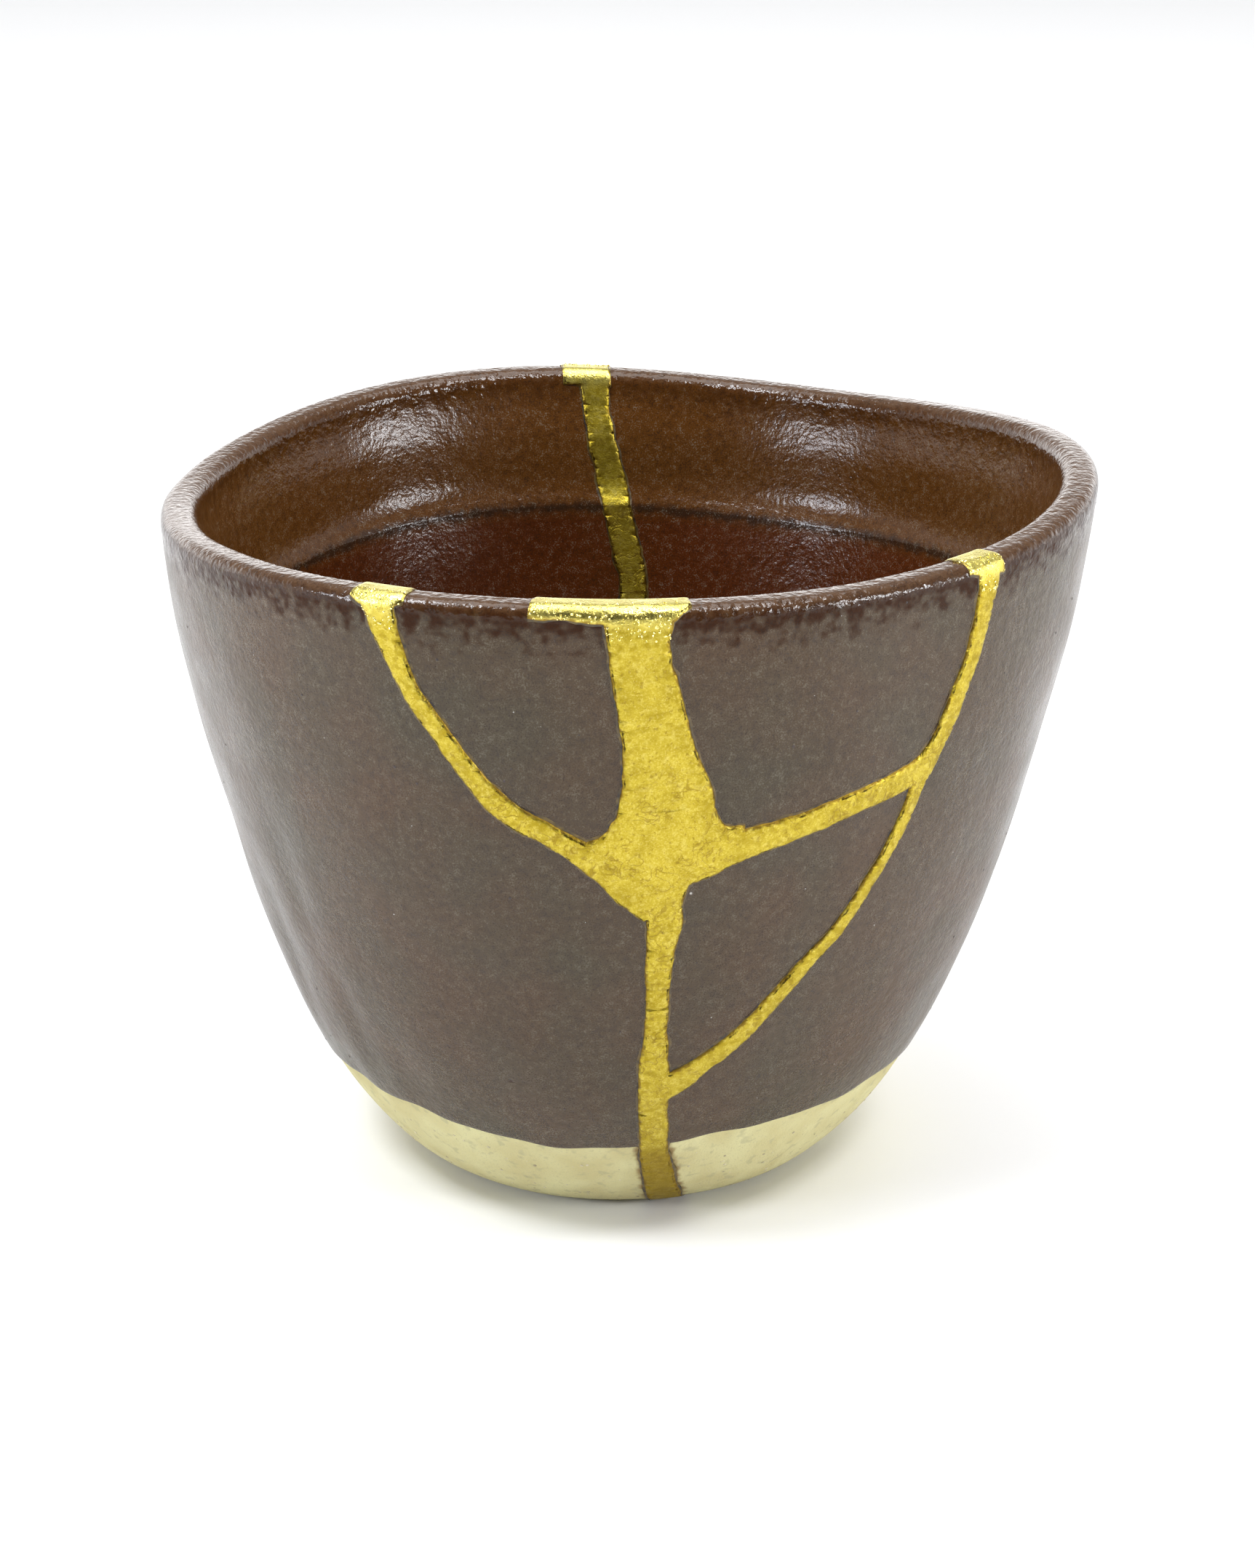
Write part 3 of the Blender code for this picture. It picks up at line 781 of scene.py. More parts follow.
def make_grain():
    """Grain of one size, as a value between Low and High."""
    given_values = {"Size": 0.001, "Low": 0.0, "High": 1.0, "Seed": 0.0}
    group, given, result = open_group("grain", given_values, ["Value"])
    point = put(group, "ShaderNodeTexCoord").outputs["Object"]
    moved = put(group, "ShaderNodeVectorMath", {"operation": "ADD"})
    plug(group, point, moved.inputs[0])
    plug(group, given["Seed"], moved.inputs[1])
    scale = calc(group, "DIVIDE", 1.0, given["Size"])
    texture = put(
        group, "ShaderNodeTexNoise", Vector=moved.outputs[0], Scale=scale, Detail=1.0, Roughness=0.6)
    plug(group, ramp(group, texture.outputs["Fac"], 0.3, 0.7, given["Low"], given["High"]), result["Value"])
    return group


def make_fade():
    """1 at a distance of nothing, fading to 0 at Reach, with a ragged edge."""
    group, given, result = open_group(
        "fading_edge", {"Distance": 0.0, "Reach": 0.001, "Raggedness": 0.3, "Rag Size": 0.001}, ["Mask"])
    ragged = put(group, "ShaderNodeGroup", {"node_tree": GRAIN}, Size=given["Rag Size"], Low=-1.0, High=1.0)
    sway = times(group, ragged.outputs[0], given["Raggedness"])
    share = calc(group, "DIVIDE", given["Distance"], given["Reach"])
    clear = put(
        group, "ShaderNodeMapRange", {"interpolation_type": "SMOOTHSTEP"},
        Value=plus(group, share, sway), From_Min=0.0, From_Max=1.0, To_Min=1.0, To_Max=0.0)
    plug(group, clear.outputs["Result"], result["Mask"])
    return group


GRAIN = make_grain()
FADE = make_fade()


def grain(tree, size, low=0.0, high=1.0, seed=0.0):
    """Grain as a value between low and high."""
    made = put(tree, "ShaderNodeGroup", {"node_tree": GRAIN}, Size=size, Low=low, High=high, Seed=seed)
    return made.outputs["Value"]


def fade(tree, distance, reach, raggedness=0.3, rag_size=0.001):
    """A mask that is 1 at no distance and 0 from reach on."""
    made = put(
        tree, "ShaderNodeGroup", {"node_tree": FADE},
        Distance=distance, Reach=reach, Raggedness=raggedness, Rag_Size=rag_size)
    return made.outputs["Mask"]


print("groups:", GRAIN.name, "and", FADE.name)

# %% How a finish starts, its bumps and its spots
BUMP_UNIT = 0.0001


def start_finish(name, roughness, metallic=0.0):
    """A new material with its node tree and its shader."""
    material = bpy.data.materials.new(name)
    material.use_nodes = True
    shader = material.node_tree.nodes["Principled BSDF"]
    shader.inputs["Roughness"].default_value = roughness
    shader.inputs["Metallic"].default_value = metallic
    return material, material.node_tree, shader


def bumps(tree, shader, *layers):
    """Bumps in layers. Each layer is a value from 0 to 1 and its depth in metres."""
    heights = [times(tree, height, depth / BUMP_UNIT) for height, depth in layers]
    total = heights[0]
    for height in heights[1:]:
        total = plus(tree, total, height)
    made = put(tree, "ShaderNodeBump", Height=total, Distance=BUMP_UNIT, Strength=1.0)
    plug(tree, made.outputs["Normal"], shader.inputs["Normal"])


def spot(tree, where, size):
    """A mask of one small spot on the outside, at an angle and a place."""
    middle = form(np.array([on_sheet(*where)]), -1, 0)[0]
    point = put(tree, "ShaderNodeTexCoord").outputs["Object"]
    gap = put(tree, "ShaderNodeVectorMath", {"operation": "DISTANCE"})
    plug(tree, point, gap.inputs[0])
    plug(tree, middle, gap.inputs[1])
    return fade(tree, gap.outputs["Value"], size, 0.3, size)


print("bumps are measured in steps of", BUMP_UNIT * 1000, "mm")

# %% [markdown]
# The glaze is an iron one, red-brown in itself. It looks grey-brown because its satin surface
# mirrors the pale room softly. It breaks to dark red-brown under the lip, where it ran thin, and
# that band also carries painted shade for the dark room in front that it mirrors. Inside the cup
# it is redder, and darker below the ledge, partly by its own colour and partly by painted shade,
# with a painted shadow line just under the ledge. It is shiniest at the lip. Pale and dark grains
# as fine as flour are all through it. One small pit and one chip of it show at the front.

# %% Stoneware glaze
GLAZE_BROWN = (0.056, 0.027, 0.007)
GLAZE_OLIVE = (0.045, 0.030, 0.011)
# Thin glaze's own colour; in the band under the lip it also stands for painted shade.
GLAZE_THIN = (0.030, 0.009, 0.002)
GLAZE_LIP = (0.070, 0.034, 0.015)
GLAZE_INSIDE = (0.076, 0.027, 0.004)
# Darker red-brown of the inside below the ledge: partly the glaze's own colour, partly painted shade.
GLAZE_DEEP_AND_SHADE = (0.064, 0.014, 0.002)
GLAZE_PALE = (0.24, 0.225, 0.17)
# Colour of the dark grains, and of the painted shadow line under the ledge.
GLAZE_DARK = (0.018, 0.009, 0.005)
GLAZE_CHIP = (0.55, 0.52, 0.48)
GLAZE_MIRROR = 0.35
LIP_REACH = 0.0011
# Start and reach of the dark band under the lip, which is partly painted shade.
BAND_START = 0.0007
BAND_REACH = 0.0034
SHINY_REACH = 0.0040
PIT = (-106.9, 1.336)
PIT_SIZE = 0.00035
CHIP = (-80.6, 1.634)
CHIP_SIZE = 0.00022


def make_glaze():
    """The satin iron glaze."""
    material, tree, shader = start_finish("stoneware_glaze", 0.4)
    from_rim = of_surface(tree, "from_rim")
    inner = of_surface(tree, "inner")
    outer = calc(tree, "SUBTRACT", 1.0, inner)
    fine = grain(tree, 0.00014, seed=2.0)
    clouded = plus(tree, fine, grain(tree, 0.0008, -0.3, 0.3, seed=3.0))
    pit = spot(tree, PIT, PIT_SIZE)

    outside = mix(tree, grain(tree, 0.009, seed=1.0), GLAZE_BROWN, GLAZE_OLIVE)
    # Below the ledge the inside turns darker, partly by its own colour and partly by painted shade.
    down_to_ledge = ramp(tree, from_rim, LEDGE_DROP - 0.0005, LEDGE_DROP + 0.002)
    inside = mix(tree, down_to_ledge, GLAZE_INSIDE, GLAZE_DEEP_AND_SHADE)
    # A painted shadow: a thin dark line just under the ledge.
    ledge_shadow_line = fade(tree, apart(tree, from_rim, LEDGE_DROP + 0.0003), 0.0010, 0.3)
    inside = mix(tree, times(tree, ledge_shadow_line, 0.8), inside, GLAZE_DARK)
    # The dark band under the lip: glaze run thin, and painted shade for the dark room in front that it
    # mirrors.
    thin_and_shaded_band = fade(tree, calc(tree, "SUBTRACT", from_rim, BAND_START), BAND_REACH, 0.45, 0.0011)
    thin_and_shaded_band = times(tree, thin_and_shaded_band, ramp(tree, inner, 0.3, 0.7, 0.95, 0.5))
    end = fade(tree, calc(tree, "ABSOLUTE", of_surface(tree, "from_glaze")), 0.0006, 0.2, 0.0006)
    pale = ramp(tree, clouded, 0.70, 1.25, 0.0, 0.30)
    colour = layered(
        tree, outside,
        (ramp(tree, inner, 0.3, 0.7), inside),
        (thin_and_shaded_band, GLAZE_THIN),
        (fade(tree, from_rim, LIP_REACH, 0.25, 0.0008), GLAZE_LIP),
        (times(tree, times(tree, end, outer), 0.5), GLAZE_THIN),
        (times(tree, pale, ramp(tree, thin_and_shaded_band, 0.0, 0.6, 1.0, 0.1)), GLAZE_PALE),
        (ramp(tree, clouded, 0.38, 0.0, 0.0, 0.60), GLAZE_DARK),
        (pit, GLAZE_THIN),
        (spot(tree, CHIP, CHIP_SIZE), GLAZE_CHIP))
    plug(tree, colour, shader.inputs["Base Color"])

    below_lip = times(tree, thin_and_shaded_band, ramp(tree, from_rim, 0.0008, 0.0014))
    mirror = ramp(tree, below_lip, 0.0, 1.0, GLAZE_MIRROR, GLAZE_MIRROR * 0.2)
    plug(tree, mirror, shader.inputs["Specular IOR Level"])
    satin = plus(tree, grain(tree, 0.0045, -0.04, 0.04, seed=4.0), ramp(tree, fine, 0.0, 1.0, 0.24, 0.34))
    satin = times(tree, satin, ramp(tree, inner, 0.3, 0.7, 1.0, 0.68))
    shiny = fade(tree, from_rim, SHINY_REACH, 0.3, 0.0015)
    plug(tree, times(tree, satin, ramp(tree, shiny, 0.0, 1.0, 1.0, 0.5)), shader.inputs["Roughness"])
    pimples = times(tree, grain(tree, 0.0007, seed=7.0), shiny)
    bumps(
        tree, shader, (grain(tree, 0.0022, seed=5.0), 0.00003), (grain(tree, 0.0005, seed=6.0), 0.000020),
        (pimples, 0.00005), (fine, 0.000006), (pit, -0.00008))
    return material


GLAZE = make_glaze()
print("finish:", GLAZE.name)

# %% [markdown]
# Below the glaze the cup is bare clay, cream, dry and a little gritty. The lacquer soaked into it
# beside the gold and left a brown stain.

# %% Bare clay
CLAY_CREAM = (0.56, 0.52, 0.27)
CLAY_BUFF = (0.48, 0.42, 0.20)
CLAY_GREY = (0.34, 0.31, 0.18)
SOAKED_CLAY = (0.20, 0.115, 0.030)


def make_clay():
    """Bare fired stoneware."""
    material, tree, shader = start_finish("bare_clay", 0.88)
    fine = grain(tree, 0.0002, seed=12.0)
    soaked = fade(tree, of_surface(tree, "from_seam"), 0.0007, 0.35, 0.0009)
    colour = layered(
        tree, mix(tree, grain(tree, 0.004, seed=11.0), CLAY_CREAM, CLAY_BUFF),
        (ramp(tree, grain(tree, 0.0011, seed=13.0), 0.72, 1.0, 0.0, 0.5), CLAY_GREY),
        (ramp(tree, fine, 0.3, 0.0, 0.0, 0.35), CLAY_GREY),
        (times(tree, soaked, 0.85), SOAKED_CLAY))
    plug(tree, colour, shader.inputs["Base Color"])
    plug(tree, ramp(tree, fine, 0.0, 1.0, 0.82, 0.95), shader.inputs["Roughness"])
    bumps(tree, shader, (grain(tree, 0.0012, seed=14.0), 0.00005), (fine, 0.00002))
    return material


CLAY = make_clay()
print("finish:", CLAY.name)

# %% [markdown]
# Gold dust on lacquer isn't as bright as leaf. It is satin, a little mottled where the dust lay
# thin, and darker at its edges, with fine wrinkles where the thick lacquer dried, whose valleys
# carry painted shade. On the lip its colour is painted brighter, a painted highlight for the glints
# there. On the bare clay it sank in and went dull.

# %% Gold and lacquer
GOLD_YELLOW = (0.47, 0.365, 0.040)
GOLD_PALE = (0.62, 0.51, 0.13)
GOLD_OLIVE = (0.30, 0.215, 0.012)
GOLD_EDGE = (0.16, 0.090, 0.014)
GOLD_DULL = (0.22, 0.14, 0.018)
# The lip's gold colour is a painted highlight, painted brighter for its glints.
GOLD_LIP_GLINT = (0.92, 0.80, 0.22)
LACQUER_BROWN = (0.010, 0.004, 0.002)


def make_gold():
    """Satin gold dust."""
    material, tree, shader = start_finish("gold_dust", 0.5, metallic=1.0)
    from_seam = of_surface(tree, "from_seam")
    from_rim = of_surface(tree, "from_rim")
    thin = grain(tree, 0.0018, seed=21.0)
    fine = grain(tree, 0.00016, seed=22.0)
    streaks = grain(tree, 0.0006, seed=26.0)
    wrinkle = put(
        tree, "ShaderNodeTexNoise", Vector=put(tree, "ShaderNodeTexCoord").outputs["Object"],
        Scale=700.0, Detail=2.0, Distortion=1.2)
    fold = apart(tree, wrinkle.outputs["Fac"], 0.5)
    creased = ramp(tree, grain(tree, 0.003, seed=27.0), 0.40, 0.65)
    creased = times(tree, creased, ramp(tree, from_rim, 0.012, 0.017, 0.15, 1.0))
    # Painted shade: the gold's colour darkens in the valleys of the wrinkles.
    crease_shade = times(tree, ramp(tree, fold, 0.036, 0.0), creased)
    narrow = ramp(tree, from_seam, 0.0015, 0.0008)
    mottled = ramp(tree, grain(tree, 0.0007, seed=28.0), 0.45, 0.85, 0.0, 0.65)
    at_lip = fade(tree, from_rim, 0.0022, 0.2, 0.0010)
    edge = fade(tree, from_seam, 0.00028, 0.5, 0.0006)
    beside = fade(tree, apart(tree, from_seam, 0.00022), 0.00010, 0.6, 0.0004)
    dashes = times(tree, beside, ramp(tree, grain(tree, 0.0016, seed=25.0), 0.56, 0.74))
    on_clay = ramp(tree, of_surface(tree, "from_glaze"), 0.0006, -0.0010)
    colour = layered(
        tree, GOLD_YELLOW,
        (ramp(tree, thin, 0.40, 1.0, 0.0, 0.40), GOLD_OLIVE),
        (ramp(tree, streaks, 0.50, 1.0, 0.0, 0.28), GOLD_OLIVE),
        (ramp(tree, streaks, 0.35, 0.0, 0.0, 0.35), GOLD_PALE),
        (ramp(tree, fine, 0.55, 1.0, 0.0, 0.40), GOLD_OLIVE),
        (ramp(tree, fine, 0.4, 0.0, 0.0, 0.5), GOLD_PALE),
        (times(tree, mottled, narrow), GOLD_OLIVE),
        (ramp(tree, grain(tree, 0.00035, seed=24.0), 0.84, 0.98, 0.0, 0.5), GOLD_DULL),
        (times(tree, crease_shade, 0.7), GOLD_DULL),
        # Painted highlight: brighter gold on the lip.
        (times(tree, at_lip, ramp(tree, fine, 0.25, 0.75, 0.45, 0.95)), GOLD_LIP_GLINT),
        (times(tree, edge, 0.85), GOLD_EDGE),
        (times(tree, dashes, 0.85), LACQUER_BROWN),
        (times(tree, on_clay, 0.6), GOLD_DULL))
    plug(tree, colour, shader.inputs["Base Color"])
    duller = plus(tree, ramp(tree, thin, 0.0, 1.0, 0.42, 0.52), ramp(tree, on_clay, 0.0, 1.0, 0.0, 0.2))
    plug(tree, calc(tree, "SUBTRACT", duller, times(tree, at_lip, 0.2)), shader.inputs["Roughness"])
    bumps(
        tree, shader, (times(tree, ramp(tree, fold, 0.05, 0.0), creased), -0.000018),
        (streaks, -0.000015), (fine, 0.000012))
    return material


def make_lacquer():
    """The dark lacquer under the gold, where it shows at the edges."""
    material, tree, shader = start_finish("dark_lacquer", 0.45)
    colour = mix(tree, grain(tree, 0.0008, seed=31.0, high=0.5), LACQUER_BROWN, GOLD_DULL)
    plug(tree, colour, shader.inputs["Base Color"])
    bumps(tree, shader, (grain(tree, 0.0004, seed=32.0), 0.00002))
    return material


GOLD = make_gold()
LACQUER = make_lacquer()
print("finishes:", GOLD.name, "and", LACQUER.name)

# %% [markdown]
# ## The five shards
# A shard is glazed down to the glaze's end and inside, and bare below and on its broken faces.
# The glaze is a fifth of a millimetre thick, with a round edge.

# %% Shards
GLAZE_RISE = 0.008


def glaze_height():
    """How far the clay's outer face lies below the glaze's face, at each point of the sheet."""
    covered = np.sqrt(1 - (1 - np.clip(from_glaze / GLAZE_EDGE, 0, 1)) ** 2)
    start = smooth_step((distance - FOOT_RADIUS) / GLAZE_RISE)
    return -GLAZE_THICKNESS * start * (1 - covered)


def bare_or_glazed(outer, low):
    """Material 1, bare clay, below the glaze on the outer face, and 0, glaze, elsewhere."""
    return 1 if outer and low else 0


level = glaze_height()
plain = np.zeros(len(flat))
pieces = {}
for name, triangles in shards.items():
    pieces[name + "_stoneware"] = raise_piece(
        name + "_stoneware", triangles, level, plain, [GLAZE, CLAY], bare_or_glazed)

# %% [markdown]
# ## The gold and the lacquer
# The gold is a bead: it rises in a quarter round from its edges to its full height, and its top
# ripples a little. The dark lacquer stays lower, between the gold and the clay.

# %% The gold bead
GOLD_PROUD = 0.0003
GOLD_RIPPLE = 0.00004
INSIDE_RIPPLE = 0.00001
RIPPLE_SIZE = 0.0012
BEAD_ROUND = 0.00045
LIP_GOLD = 0.35
LIP_WEAR_START = 0.0008
LIP_WEAR = 0.0022
LACQUER_PROUD = 0.00006
LACQUER_SLOPE = 0.0002
GOLD_RISE = 0.012


def bead_height(points, foot, ripple):
    """Height of the gold over one face of the wall."""
    round_up = np.sqrt(1 - (1 - np.clip(from_seam / BEAD_ROUND, 0, 1)) ** 2)
    worn = LIP_GOLD + (1 - LIP_GOLD) * smooth_step((from_rim - LIP_WEAR_START) / LIP_WEAR)
    top = (GOLD_PROUD - LACQUER_PROUD) * worn + ripple * rough(points, RIPPLE_SIZE, 4.0)
    return foot * (LACQUER_PROUD + top * round_up)


rise = smooth_step((distance - FOOT_RADIUS) / GOLD_RISE)
within = form(flat, 1, 0)
pieces["gold_lines"] = raise_piece(
    "gold_lines", found["gold"], bead_height(outside, rise, GOLD_RIPPLE),
    bead_height(within, 1.0, INSIDE_RIPPLE), [GOLD])
low_lacquer = LACQUER_PROUD * np.clip(1 - from_seam / LACQUER_SLOPE, 0, 1)
pieces["lacquer_lines"] = raise_piece(
    "lacquer_lines", found["lacquer"], low_lacquer * rise, low_lacquer, [LACQUER])

# %% [markdown]
# ## Small things that repeat
# Iron specks and pale crystals in the glaze, grit in the bare clay, coarser grains of gold at the
# lip, and a thread of lacquer along the gold's edges: these repeat over a surface or follow a
# line. Geometry Nodes scatter or draw them, with sizes that can be changed by name.

# %% How a tree starts and ends


def open_tree(name, inputs):
    """A new Geometry Nodes tree with a surface, named inputs, a material and one result."""
    tree = bpy.data.node_groups.new(name, "GeometryNodeTree")
    tree.is_modifier = True
    tree.interface.new_socket(name="Surface", in_out="INPUT", socket_type="NodeSocketGeometry")
    for title, value in inputs.items():
        kind = "NodeSocketInt" if isinstance(value, int) else "NodeSocketFloat"
        socket = tree.interface.new_socket(name=title, in_out="INPUT", socket_type=kind)
        socket.default_value = value
    tree.interface.new_socket(name="Material", in_out="INPUT", socket_type="NodeSocketMaterial")
    tree.interface.new_socket(name="Result", in_out="OUTPUT", socket_type="NodeSocketGeometry")
    return tree, tree.nodes.new("NodeGroupInput").outputs, tree.nodes.new("NodeGroupOutput").inputs


def close_tree(tree, given, result, instances):
    """End a tree: make the instances real and give them their material."""
    real = put(tree, "GeometryNodeRealizeInstances", Geometry=instances)
    painted = put(tree, "GeometryNodeSetMaterial", Geometry=real.outputs[0], Material=given["Material"])
    plug(tree, painted.outputs[0], result["Result"])
    return tree


print("tree helpers ready")

# %% A tree that scatters lumps over a surface


def make_scatter():
    """Lumps strewn over a surface, each turned and tilted a little."""
    tree, given, result = open_tree("scattered_lumps", {
        "Density": 100.0, "Size": 0.0001, "Spread": 0.5, "Flatness": 0.4, "Tilt": 0.1, "Seed": 1,
    })
    points = put(
        tree, "GeometryNodeDistributePointsOnFaces", Mesh=given["Surface"], Density=given["Density"],
        Seed=given["Seed"])
    lump = put(tree, "GeometryNodeMeshIcoSphere", Radius=1.0, Subdivisions=1)
    spread = times(tree, given["Size"], given["Spread"])
    size = put(tree, "FunctionNodeRandomValue", {"data_type": "FLOAT"}, Seed=given["Seed"])
    plug(tree, calc(tree, "SUBTRACT", given["Size"], spread), size.inputs[2])
    plug(tree, plus(tree, given["Size"], spread), size.inputs[3])
    high = times(tree, size.outputs[1], given["Flatness"])
    scale = put(tree, "ShaderNodeCombineXYZ", X=size.outputs[1], Y=size.outputs[1], Z=high)
    lean = put(tree, "FunctionNodeRandomValue", {"data_type": "FLOAT_VECTOR"}, Seed=given["Seed"])
    least = times(tree, given["Tilt"], -1.0)
    plug(tree, put(tree, "ShaderNodeCombineXYZ", X=least, Y=least, Z=0.0).outputs[0], lean.inputs[0])
    most = put(tree, "ShaderNodeCombineXYZ", X=given["Tilt"], Y=given["Tilt"], Z=2 * pi)
    plug(tree, most.outputs[0], lean.inputs[1])
    turn = put(
        tree, "FunctionNodeRotateRotation", {"rotation_space": "LOCAL"}, Rotation=points.outputs["Rotation"])
    plug(tree, put(tree, "FunctionNodeEulerToRotation", Euler=lean.outputs[0]).outputs[0], turn.inputs[1])
    strewn = put(
        tree, "GeometryNodeInstanceOnPoints", Points=points.outputs["Points"], Instance=lump.outputs["Mesh"],
        Rotation=turn.outputs[0], Scale=scale.outputs[0])
    return close_tree(tree, given, result, strewn.outputs[0])


SCATTER = make_scatter()
print("tree:", SCATTER.name)

# %% From a tree to a plain mesh


def grow(name, source, tree, **values):
    """Run a tree on a source mesh and keep the result as a plain mesh."""
    source_object = in_scene(name + "_source", source)
    modifier = source_object.modifiers.new(name, "NODES")
    modifier.node_group = tree
    for socket in tree.interface.items_tree:
        if socket.in_out == "INPUT" and socket.name.replace(" ", "_") in values:
            modifier[socket.identifier] = values[socket.name.replace(" ", "_")]
    shape = source_object.evaluated_get(bpy.context.evaluated_depsgraph_get())
    mesh = bpy.data.meshes.new_from_object(shape)
    mesh.name = name
    bpy.data.objects.remove(source_object)
    bpy.data.meshes.remove(source)
    pieces[name] = in_scene(name, mesh)
    print(name, "has", len(mesh.polygons), "faces")


print("pieces so far:", len(pieces))

# %% Surfaces to scatter over
SEAM_CLEARANCE = 0.0004
EDGE_CLEARANCE = 0.001


def skin(triangles, inside, proud, wanted):
    """One face of the wall, as an open mesh, where a rule over the points of the sheet holds."""
    kept = [triangle for triangle in triangles if all(wanted[i] for i in triangle)]
    used = sorted({i for triangle in kept for i in triangle})
    number_of = {i: number for number, i in enumerate(used)}
    faces = [[number_of[i] for i in triangle] for triangle in kept]
    mesh = bpy.data.meshes.new("skin")
    if inside < 0:
        faces = [face[::-1] for face in faces]
    mesh.from_pydata(form(flat[used], inside, proud[used]), [], faces)
    return mesh


every_clay = [triangle for shard in shards.values() for triangle in shard]
clear_of_seam = from_seam > SEAM_CLEARANCE
glazed = (from_glaze > EDGE_CLEARANCE) & (from_rim > EDGE_CLEARANCE) & clear_of_seam
bare = (from_glaze < -EDGE_CLEARANCE / 2) & clear_of_seam & (distance > FOOT_RADIUS + FOOT_MARGIN)
print(int(glazed.sum()), "points of glaze and", int(bare.sum()), "of bare clay to scatter over")

# %% Specks, crystals, grit and gold grains
IRON_SIZE = 0.00010
CRYSTAL_SIZE = 0.00005
GRIT_SIZE = 0.00013
GOLD_GRAIN_SIZE = 0.00010
GRAINS_REACH = 0.0028


def plain_finish(name, first, second, roughness, metallic=0.0):
    """A simple finish, uneven in colour, for small lumps."""
    material, tree, shader = start_finish(name, roughness, metallic)
    plug(tree, mix(tree, grain(tree, 0.0008, seed=41.0), first, second), shader.inputs["Base Color"])
    bumps(tree, shader, (grain(tree, 0.0001, seed=42.0), 0.00001))
    return material


IRON = plain_finish("iron_speck", (0.010, 0.005, 0.004), (0.030, 0.012, 0.008), 0.35)
CRYSTAL = plain_finish("pale_crystal", (0.34, 0.33, 0.31), (0.52, 0.51, 0.49), 0.3)
GRIT = plain_finish("clay_grit", (0.30, 0.25, 0.15), (0.62, 0.56, 0.38), 0.9)
GOLD_GRAIN = plain_finish("gold_grain", (0.80, 0.66, 0.16), (0.90, 0.80, 0.34), 0.22, metallic=1.0)

grow("iron_specks", skin(every_clay, -1, level, glazed), SCATTER,
     Density=14000.0, Size=IRON_SIZE, Spread=0.6, Flatness=0.3, Tilt=0.1, Seed=3, Material=IRON)
grow("pale_crystals", skin(every_clay, -1, level, glazed), SCATTER,
     Density=10000.0, Size=CRYSTAL_SIZE, Spread=0.5, Flatness=0.4, Tilt=0.3, Seed=8, Material=CRYSTAL)
grow("clay_grit", skin(every_clay, -1, level, bare), SCATTER,
     Density=160000.0, Size=GRIT_SIZE, Spread=0.6, Flatness=0.35, Tilt=0.2, Seed=5, Material=GRIT)
bead = bead_height(outside, rise, GOLD_RIPPLE)
grow("gold_grains", skin(found["gold"], -1, bead, from_rim < GRAINS_REACH), SCATTER,
     Density=6e6, Size=GOLD_GRAIN_SIZE, Spread=0.5, Flatness=0.5, Tilt=0.9, Seed=6, Material=GOLD_GRAIN)

# %% [markdown]
# Where the gold ends, a thread of the lacquer under it squeezed out. It runs along every edge,
# thick here and thin there, and goes under in places.

# %% A tree that draws a thread along a line


def make_thread():
    """A round thread along the lines of a mesh, uneven in thickness."""
    tree, given, result = open_tree("lacquer_thread", {
        "Step": 0.00025, "Thin": 0.00001, "Thick": 0.00009, "Wave Length": 0.002, "Sides": 6,
    })
    curve = put(tree, "GeometryNodeMeshToCurve", Mesh=given["Surface"])
    even = put(
        tree, "GeometryNodeResampleCurve", {"mode": "LENGTH"}, Curve=curve.outputs[0], Length=given["Step"])
    scale = calc(tree, "DIVIDE", 1.0, given["Wave Length"])
    where = put(tree, "GeometryNodeInputPosition").outputs[0]
    waves = put(tree, "ShaderNodeTexNoise", Vector=where, Scale=scale, Detail=3.0)
    radius = ramp(tree, waves.outputs["Fac"], 0.42, 0.75, given["Thin"], given["Thick"])
    profile = put(tree, "GeometryNodeCurvePrimitiveCircle", Resolution=given["Sides"], Radius=1.0)
    tube = put(
        tree, "GeometryNodeCurveToMesh", Curve=even.outputs[0], Profile_Curve=profile.outputs[0],
        Scale=radius, Fill_Caps=True)
    return close_tree(tree, given, result, tube.outputs[0])


THREAD = make_thread()
THREAD_PROUD = 0.00003


def edge_lines(inside):
    """The gold's outline on one face of the wall, as a mesh of edges. The foot is left flat."""
    kept = [(a, b) for a, b in outline if inside > 0 or not (on_foot[a] or on_foot[b])]
    used = sorted({i for edge in kept for i in edge})
    number_of = {i: number for number, i in enumerate(used)}
    mesh = bpy.data.meshes.new("edge_lines")
    points = form(flat[used], inside, np.full(len(used), THREAD_PROUD))
    mesh.from_pydata(points, [[number_of[a], number_of[b]] for a, b in kept], [])
    return mesh


grow("lacquer_thread", edge_lines(-1), THREAD, Material=LACQUER)
grow("lacquer_thread_inside", edge_lines(1), THREAD, Material=LACQUER)

# %% [markdown]
# ## Floor and light
# The cup was photographed in a white room in soft light from all round, so its sides mirror
# something pale and its front stays quiet. The world is that room, darker towards the camera and
# overhead. Two high windows make the glints on the lip and inside the back wall, two low ones
# light the sides, and a ceiling lamp lights the floor.

# %% Floor
FLOOR_SIDE = 2.2
mesh = bpy.data.meshes.new("floor")
half = FLOOR_SIDE / 2
corners = [(-half, -half, 0), (half, -half, 0), (half, half, 0), (-half, half, 0)]
mesh.from_pydata(corners, [], [(0, 1, 2, 3)])
floor = in_scene("floor", mesh)
floor_finish, tree, shader = start_finish("white_floor", 0.5)
shader.inputs["Base Color"].default_value = (0.88, 0.88, 0.88, 1.0)
mesh.materials.append(floor_finish)
print("the floor is", FLOOR_SIDE, "m wide")

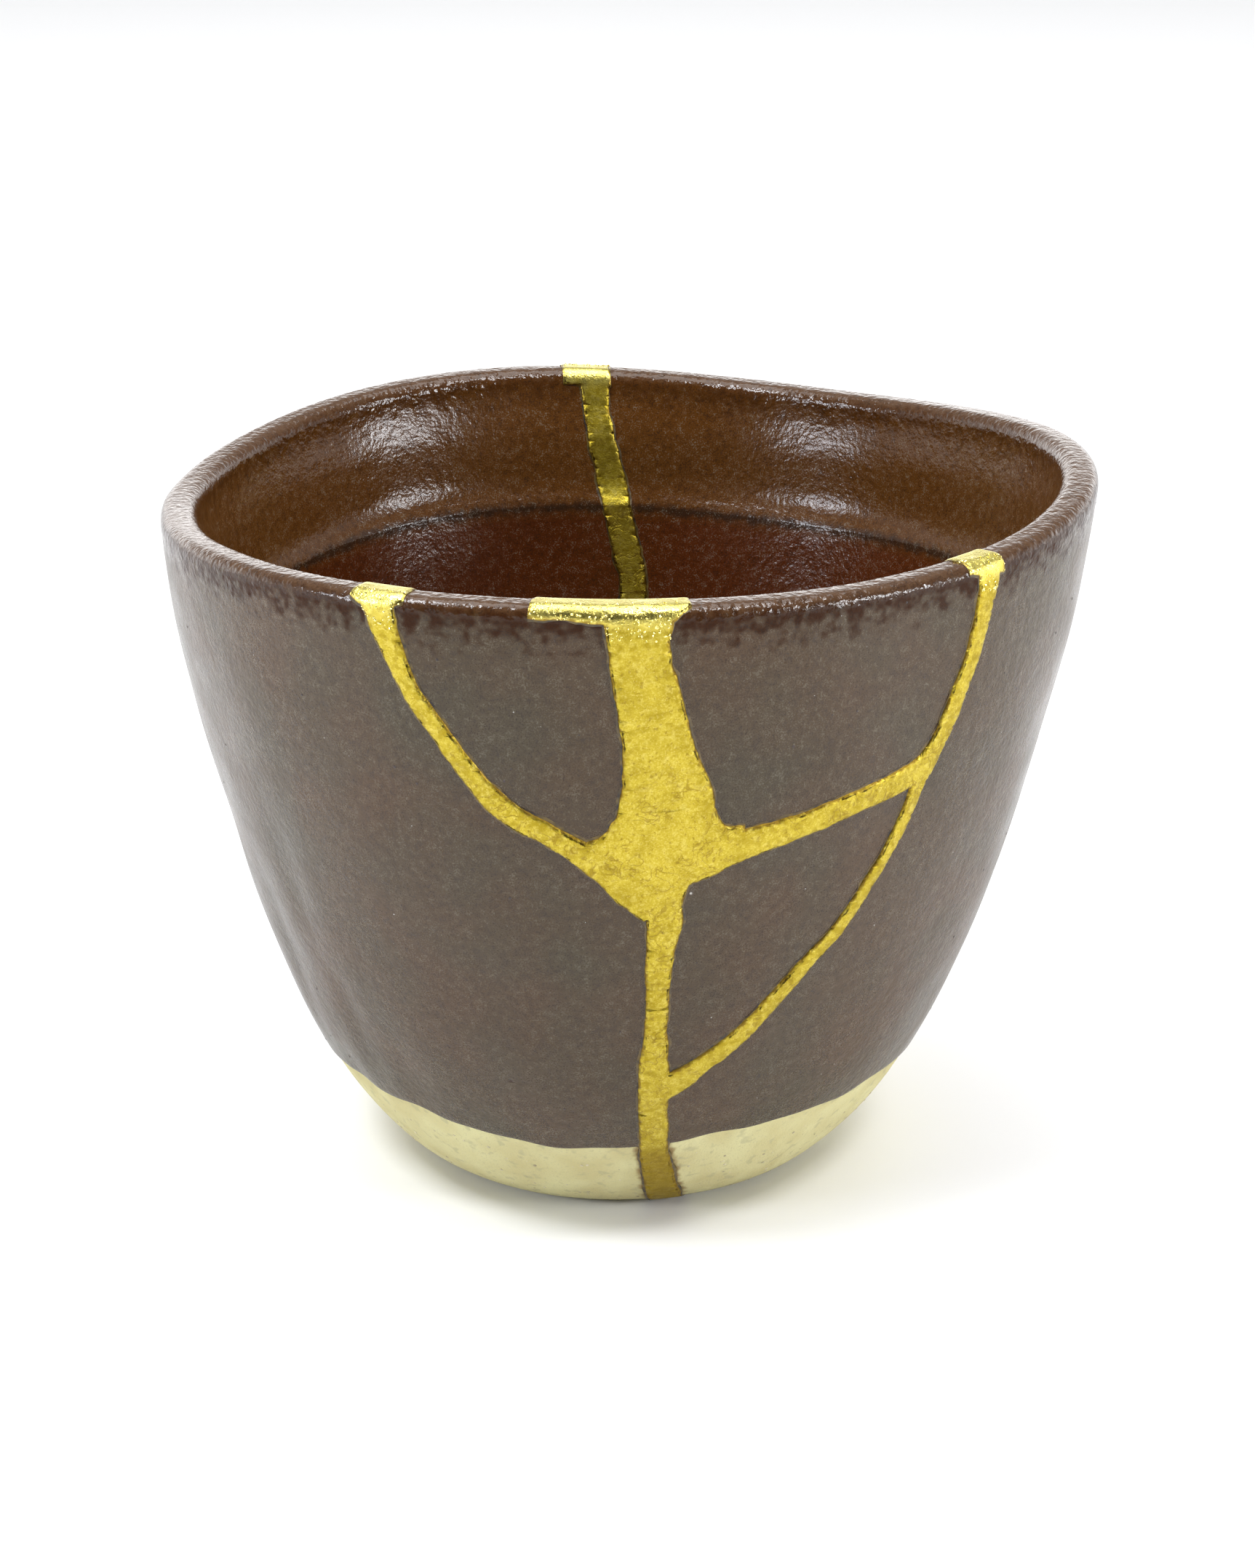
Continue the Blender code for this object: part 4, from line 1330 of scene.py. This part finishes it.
# %% World and lamps
world = bpy.data.worlds.new("white_room")
world.use_nodes = True
bpy.context.scene.world = world
tree = world.node_tree
direction = put(tree, "ShaderNodeTexCoord").outputs["Generated"]
parts = put(tree, "ShaderNodeSeparateXYZ", Vector=direction).outputs
to_back = ramp(tree, parts["Y"], -0.80, 0.40, 0.10, 2.6)
overhead = ramp(tree, parts["Z"], 0.05, 0.45, 1.0, 0.20)
plug(tree, (1.0, 1.0, 1.0, 1.0), tree.nodes["Background"].inputs["Color"])
plug(tree, times(tree, to_back, overhead), tree.nodes["Background"].inputs["Strength"])
bpy.context.scene.view_settings.view_transform = "Standard"


def lamp(name, position, width, height, power, colour=(1.0, 1.0, 1.0)):
    """A soft rectangular lamp that shines at the cup."""
    data = bpy.data.lights.new(name, "AREA")
    data.shape = "RECTANGLE"
    data.size = width
    data.size_y = height
    data.energy = power
    data.color = colour
    made = in_scene(name, data)
    made.location = position
    made.rotation_euler = (Vector(position) - LOOK_AT).to_track_quat("Z", "Y").to_euler()


def aim(turn, lift, far):
    """A place at a distance from the cup, by its angles round and above it."""
    level = far * cos(radians(lift))
    return level * cos(radians(turn)), level * sin(radians(turn)), far * sin(radians(lift)) + LOOK_AT.z


lamp("ceiling_lamp", (0.0, 0.1, 1.0), 0.9, 0.7, 7.6)
lamp("left_window", aim(-146, 59, 0.8), 0.25, 0.18, 4.4, (0.92, 0.95, 1.0))
lamp("low_left_window", aim(-154, 18, 0.8), 0.20, 0.16, 2.8, (0.88, 0.92, 1.0))
lamp("right_window", aim(-34, 59, 0.8), 0.20, 0.16, 2.5, (0.98, 0.98, 1.0))
lamp("low_right_window", aim(-24, 15, 0.8), 0.20, 0.14, 3.3, (0.95, 0.97, 1.0))

# %% [markdown]
# ## The cup's one body
# Every piece rides on the cup's one body, and the plain solids that the shards and the gold
# replace are hidden.

# %% Bodies and replaced solids
for name, piece in pieces.items():
    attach(piece, "root")
for node in SHARDS:
    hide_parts(node)
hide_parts("gold_seams")
print(len(pieces), "pieces ride on the cup")
